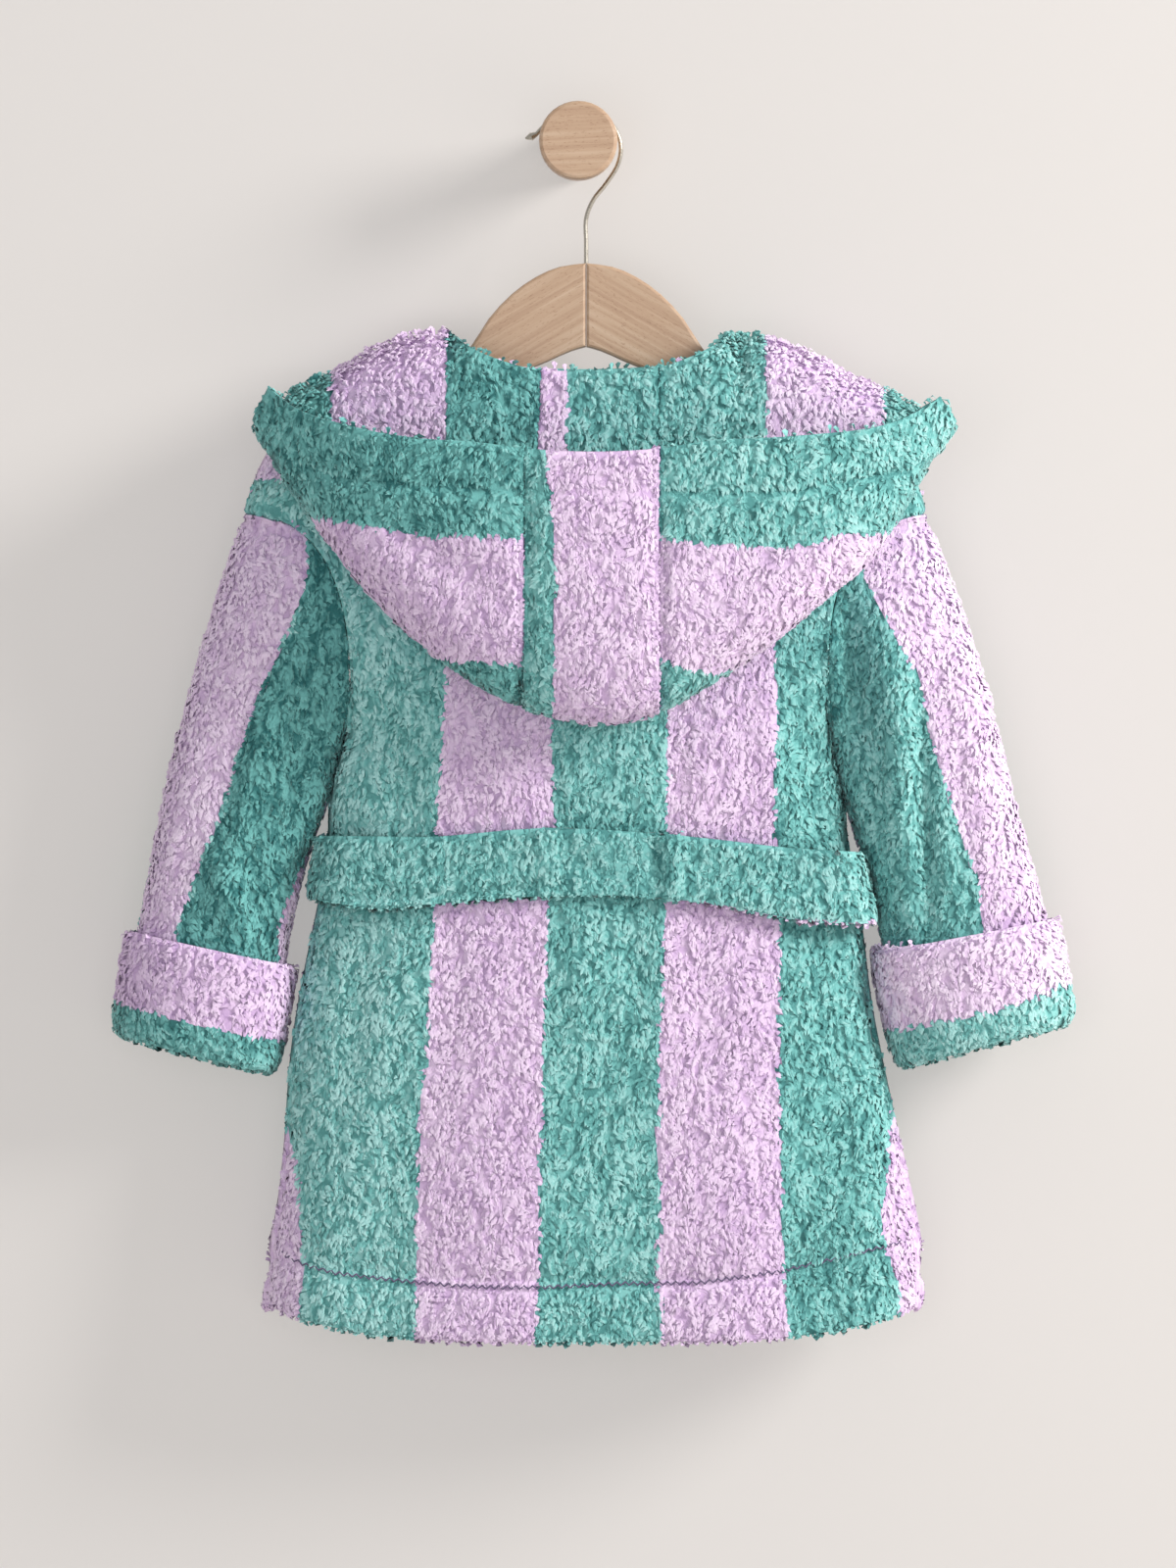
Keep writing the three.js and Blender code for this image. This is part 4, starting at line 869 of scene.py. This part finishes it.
SLEEVE_AXIS = {
    "left": [(-214, -170), (-300, -182), (-380, -196), (-450, -210), (-540, -222)],
    "right": [(-214, 178), (-300, 194), (-380, 206), (-450, 224), (-540, 236)],
}
DOWN_TO_CUFF = 262  # mm from the sleeve's top to where the cuff hides it


def sleeve_inside(node):
    cuff_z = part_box(node)[1][2] / MM - DOWN_TO_CUFF

    def inside(points, normals, value):
        axis = edge_at(SLEEVE_AXIS[side_of(node)], points[:, 2])
        across = points[:, [0, 1]] - np.stack([axis, np.full(len(points), SLEEVE_PLANE_Y)], axis=1)
        outwards = (across * normals[:, :2]).sum(axis=1) > 0
        return np.where(outwards & (points[:, 2] >= cuff_z), value, 0.0)
    return inside


def hood_inside(points, normals, value):
    facing_room, near = normals[:, 1] < 0, near_wall(points)
    return np.where(near, np.where(facing_room, 1.0, 0.25), np.where(facing_room, 0.8, 0.4))


EVERYWHERE = {"all": (-2000, 0)}  # from z to z, in mm
SPANS = {"back": {"above_belt": (-420, 0), "below_belt": (-2000, -420)}}  # so that no mesh grows too big
GROOVE_LIGHT = 0.1  # share of the light that gets to the backing there, painted into its colour as shade


def partly(density, low, high):
    def within(points, normals):
        return density(points, normals) * ((points[:, 2] >= low) & (points[:, 2] < high))
    return within


PLANS = {
    "back": (weigh(1.0, 0.0, back_inside), pressed(HEM_STITCHES, 4, 0.1)),
    "front_left": (weigh(0.0, 0.5, front_inside), pressed(HEM_STITCHES, 4, 0.1)),
    "front_right": (weigh(0.0, 0.5, front_inside), pressed(HEM_STITCHES, 4, 0.1)),
    "sleeve_left": (weigh(1.0, 0.5, sleeve_inside("sleeve_left")), None),
    "sleeve_right": (weigh(1.0, 0.5, sleeve_inside("sleeve_right")), None),
    "cuff_left": (weigh(1.0, 0.5), None),
    "cuff_right": (weigh(1.0, 0.5), None),
    "hood_left": (weigh(1.0, 0.6, hood_inside), hood_pressed("hood_centre")),
    "hood_centre": (weigh(1.0, 0.6, hood_inside), hood_pressed("hood_left", "hood_right")),
    "hood_right": (weigh(1.0, 0.6, hood_inside), hood_pressed("hood_centre")),
    "belt": (weigh(1.0, 0.45), belt_pressed),
    "belt_knot": (weigh(0.2, 0.7), None),
    "belt_tail_left": (weigh(0.1, 0.6), None),
    "belt_tail_right": (weigh(0.1, 0.6), None),
    "pocket_left": (weigh(0.1, 0.55), None),
    "pocket_right": (weigh(0.1, 0.55), None),
}


def shade_grooves(node, trim):
    """Paints shade on the backing where the pile is held down, as little light reaches it there."""
    mesh = backings[node].data
    layer = mesh.attributes["dye_and_painted_shade"]
    dye_and_painted_shade = np.empty(len(mesh.vertices) * 4)
    layer.data.foreach_get("color", dye_and_painted_shade)
    dye_and_painted_shade = dye_and_painted_shade.reshape(-1, 4)
    light = np.clip(trim(read_mesh(mesh)[0]) / HELD_LIGHT, 0, 1)
    dye_and_painted_shade[:, 1] = BACKING_REACH * (GROOVE_LIGHT + (1 - GROOVE_LIGHT) * light)
    layer.data.foreach_set("color", dye_and_painted_shade.ravel())


for seed, (name, (density, trim)) in enumerate(PLANS.items()):
    if trim is not None:
        shade_grooves(name, trim)
    [grow(f"pile_{name}_{part}", name, partly(density, *span), SHOWN, seed + 11 + 50 * k, trim)
                   for k, (part, span) in enumerate(SPANS.get(name, EVERYWHERE).items())]

# %% [markdown]
# The hem is turned up once and held by a machine stitch with two needles, which shows as a dark zigzag
# of thread in the groove. A flat texture would lie under the pile, so the thread is a thin tube along
# a zigzag on the backing's face, 2.4 mm from turn to turn and 2 mm wide.

# %% Hem stitching
thread_material, tree, shader = new_material(
    "spun polyester thread", {"Roughness": 0.75, "Sheen Weight": 0.2, "Sheen Tint": linear("#B9AFC4")},
)
place = add_node(tree, "ShaderNodeTexCoord").outputs["Object"]
twist = add_node(tree, "ShaderNodeTexNoise", {"Scale": 1500.0, "Detail": 1.0}, {"Vector": place})
dark = add_node(tree, "ShaderNodeValToRGB", links={"Fac": twist.outputs["Fac"]})
set_ramp(dark.color_ramp, [(0.3, linear("#4E4463")), (0.7, linear("#776B8C"))])
tree.links.new(dark.outputs[0], shader.inputs["Base Color"])
STITCH = {"pitch": 2.4, "width": 2.0, "thread": 1.1, "off": 1.2}  # mm
OUTSIDE = 400  # mm from the wall, well clear of the gown on either side


def stitch_row(name, node, x_from, x_to, towards):
    finder = surface_finder(node)
    turns = []
    for k in range(int((x_to - x_from) / STITCH["pitch"])):
        x = x_from + k * STITCH["pitch"]
        z = edge_at(HEM_STITCHES, x) + (0.5 - k % 2) * STITCH["width"]
        start = Vector((x, OUTSIDE * towards, z)) * MM
        hit = finder.ray_cast(start, Vector((0, -towards, 0)))[0]
        if hit is not None:
            turns.append(hit + Vector((0, towards * STITCH["off"] * MM, 0)))
    curve = bpy.data.curves.new(name, "CURVE")
    curve.dimensions = "3D"
    curve.bevel_depth = STITCH["thread"] / 2 * MM
    curve.bevel_resolution = 0
    curve.use_fill_caps = True
    line = curve.splines.new("POLY")
    line.points.add(len(turns) - 1)
    for point, turn in zip(line.points, turns):
        point.co = (*turn, 1.0)
    thread = bpy.data.objects.new(name, curve)
    bpy.context.collection.objects.link(thread)
    bpy.ops.object.select_all(action="DESELECT")
    thread.select_set(True)
    bpy.context.view_layer.objects.active = thread
    bpy.ops.object.convert(target="MESH")
    thread = bpy.context.object
    thread.data.materials.append(thread_material)
    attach(thread, "root")
    return thread


threads = {
    "back": [stitch_row("hem_thread_back", "back", -170, 190, -1)],
    "front_left": [stitch_row("hem_thread_front_left", "front_left", -166, -48, 1)],
    "front_right": [stitch_row("hem_thread_front_right", "front_right", -38, 186, 1)],
}
print("threads:", [thread[0].name for thread in threads.values()])

# %% [markdown]
# Every panel is cloth that was cut flat and sewn. The table below gives for each the width and length
# that it was cut to, its true area where the cut isn't a rectangle, and what carries it.

# %% The cloth's cuts
CUTS = {  # node: flat width and length in m, area of the cut in m2, how it is held, and what it rests on
    "back": ((0.43, 0.61), 0.180, "hung", ["hanger_left", "hanger_right"]),
    "front_left": ((0.27, 0.60), 0.106, "hung", ["hanger_left"]),
    "front_right": ((0.27, 0.60), 0.109, "hung", ["hanger_right"]),
    "sleeve_left": ((0.22, 0.30), 0.047, "hung", ["hanger_left"]),
    "sleeve_right": ((0.22, 0.30), 0.047, "hung", ["hanger_right"]),
    "cuff_left": ((0.21, 0.08), 0.0155, "folded", ["backing_sleeve_left"]),
    "cuff_right": ((0.22, 0.08), 0.0165, "folded", ["backing_sleeve_right"]),
    "hood_left": ((0.24, 0.33), 0.049, "draped", ["backing_back"]),
    "hood_centre": ((0.085, 0.38), 0.027, "draped", ["backing_back"]),
    "hood_right": ((0.24, 0.33), 0.053, "draped", ["backing_back"]),
    "belt": ((0.71, 0.045), 0.0292, "laid", ["backing_back", "backing_front_left", "backing_front_right"]),
    "belt_tail_left": ((0.038, 0.205), 0.0073, "hung", ["backing_belt_knot"]),
    "belt_tail_right": ((0.038, 0.205), 0.0073, "hung", ["backing_belt_knot"]),
    "pocket_left": ((0.10, 0.105), 0.0102, "laid", ["backing_front_left"]),
    "pocket_right": ((0.10, 0.105), 0.0102, "laid", ["backing_front_right"]),
}
for name, (flat, area, held, carried_by) in CUTS.items():
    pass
print("sheets:", len(CUTS))

# %% [markdown]
# The gown hangs before a plain warm grey wall, and a pale floor lies below. A faint glow of the paint
# stands for the light that other walls of a studio throw back. The wall lets light and sight through
# from behind, so that the side with the pockets can be looked at too.

# %% Wall and floor
def plain(name, shade):
    return new_material(name, {"Base Color": linear(shade), "Roughness": 0.9})


def slab(name, size, place, turn, material):
    bpy.ops.object.select_all(action="DESELECT")
    bpy.ops.mesh.primitive_plane_add(size=size, location=place, rotation=turn)
    made = bpy.context.object
    made.name = name
    made.data.materials.append(material)
    return made


RIGHT_ANGLE = np.pi / 2
WALL_GAP = 0.6 * MM
STAGE_SIZE = 7.0
FLOOR_Z = -1.05
wall_paint, tree, shader = plain("matt wall paint", "#A9A6A4")
shader.inputs["Emission Color"].default_value = linear("#FFFCF8")
shader.inputs["Emission Strength"].default_value = 0.33
facing = add_node(tree, "ShaderNodeNewGeometry")
clear = add_node(tree, "ShaderNodeBsdfTransparent")
either = add_node(tree, "ShaderNodeMixShader",
                  links={0: facing.outputs["Backfacing"], 1: shader.outputs[0], 2: clear.outputs[0]})
tree.links.new(either.outputs[0], tree.nodes["Material Output"].inputs["Surface"])
floor_paint = plain("pale floor", "#CBC7C3")[0]
slab("wall", STAGE_SIZE, (0, WALL_GAP, FLOOR_Z + STAGE_SIZE / 2), (RIGHT_ANGLE, 0, 0), wall_paint)
slab("floor", STAGE_SIZE, (0, WALL_GAP - STAGE_SIZE / 2, FLOOR_Z), (0, 0, 0), floor_paint)
print("stage: wall and floor")

# %% [markdown]
# A product studio lights such a gown with one large soft lamp, high on the right, and a weaker one
# on the left that opens the shadows. The camera stands four metres off with a long lens, level with
# the middle of the gown, so that the outline is seen nearly without perspective.

# %% Light and camera
def lamp(name, place, target, size, power, shade):
    data = bpy.data.lights.new(name, "AREA")
    data.shape = "DISK"
    data.size = size
    data.energy = power
    data.color = linear(shade)[:3]
    made = bpy.data.objects.new(name, data)
    bpy.context.collection.objects.link(made)
    made.location = place
    made.rotation_euler = (Vector(target) - Vector(place)).to_track_quat("-Z", "Y").to_euler()


CHEST = (0.0, -0.06, -0.36)
lamp("key", (3.0, -1.4, 1.1), CHEST, 1.4, 146, "#FFFBF7")
lamp("fill", (-0.3, -2.8, -0.8), (0.0, 0.0, -0.5), 2.2, 28, "#FAF9FF")
world = bpy.data.worlds.new("studio")
bpy.context.scene.world = world
world.use_nodes = True
world.node_tree.nodes["Background"].inputs["Color"].default_value = linear("#EDEBE9")
world.node_tree.nodes["Background"].inputs["Strength"].default_value = 0.5

VIEW_MIDDLE = (5.6 * MM, -369 * MM)
VIEW_HEIGHT = 0.896  # m of the gown's plane from the top of the frame to its foot
GOWN_Y = -0.08
DISTANCE = 4.0
camera = bpy.data.objects.new("camera", bpy.data.cameras.new("camera"))
bpy.context.collection.objects.link(camera)
camera.location = (VIEW_MIDDLE[0], GOWN_Y - DISTANCE, VIEW_MIDDLE[1])
camera.rotation_euler = (RIGHT_ANGLE, 0, 0)
camera.data.sensor_fit = "VERTICAL"
camera.data.lens = camera.data.sensor_height * DISTANCE / VIEW_HEIGHT
camera.data.clip_end = 50
bpy.context.scene.camera = camera
bpy.context.scene.view_settings.view_transform = "Standard"
print("lens:", round(camera.data.lens, 1), "mm")

# %% Updating the view layer
bpy.context.view_layer.update()
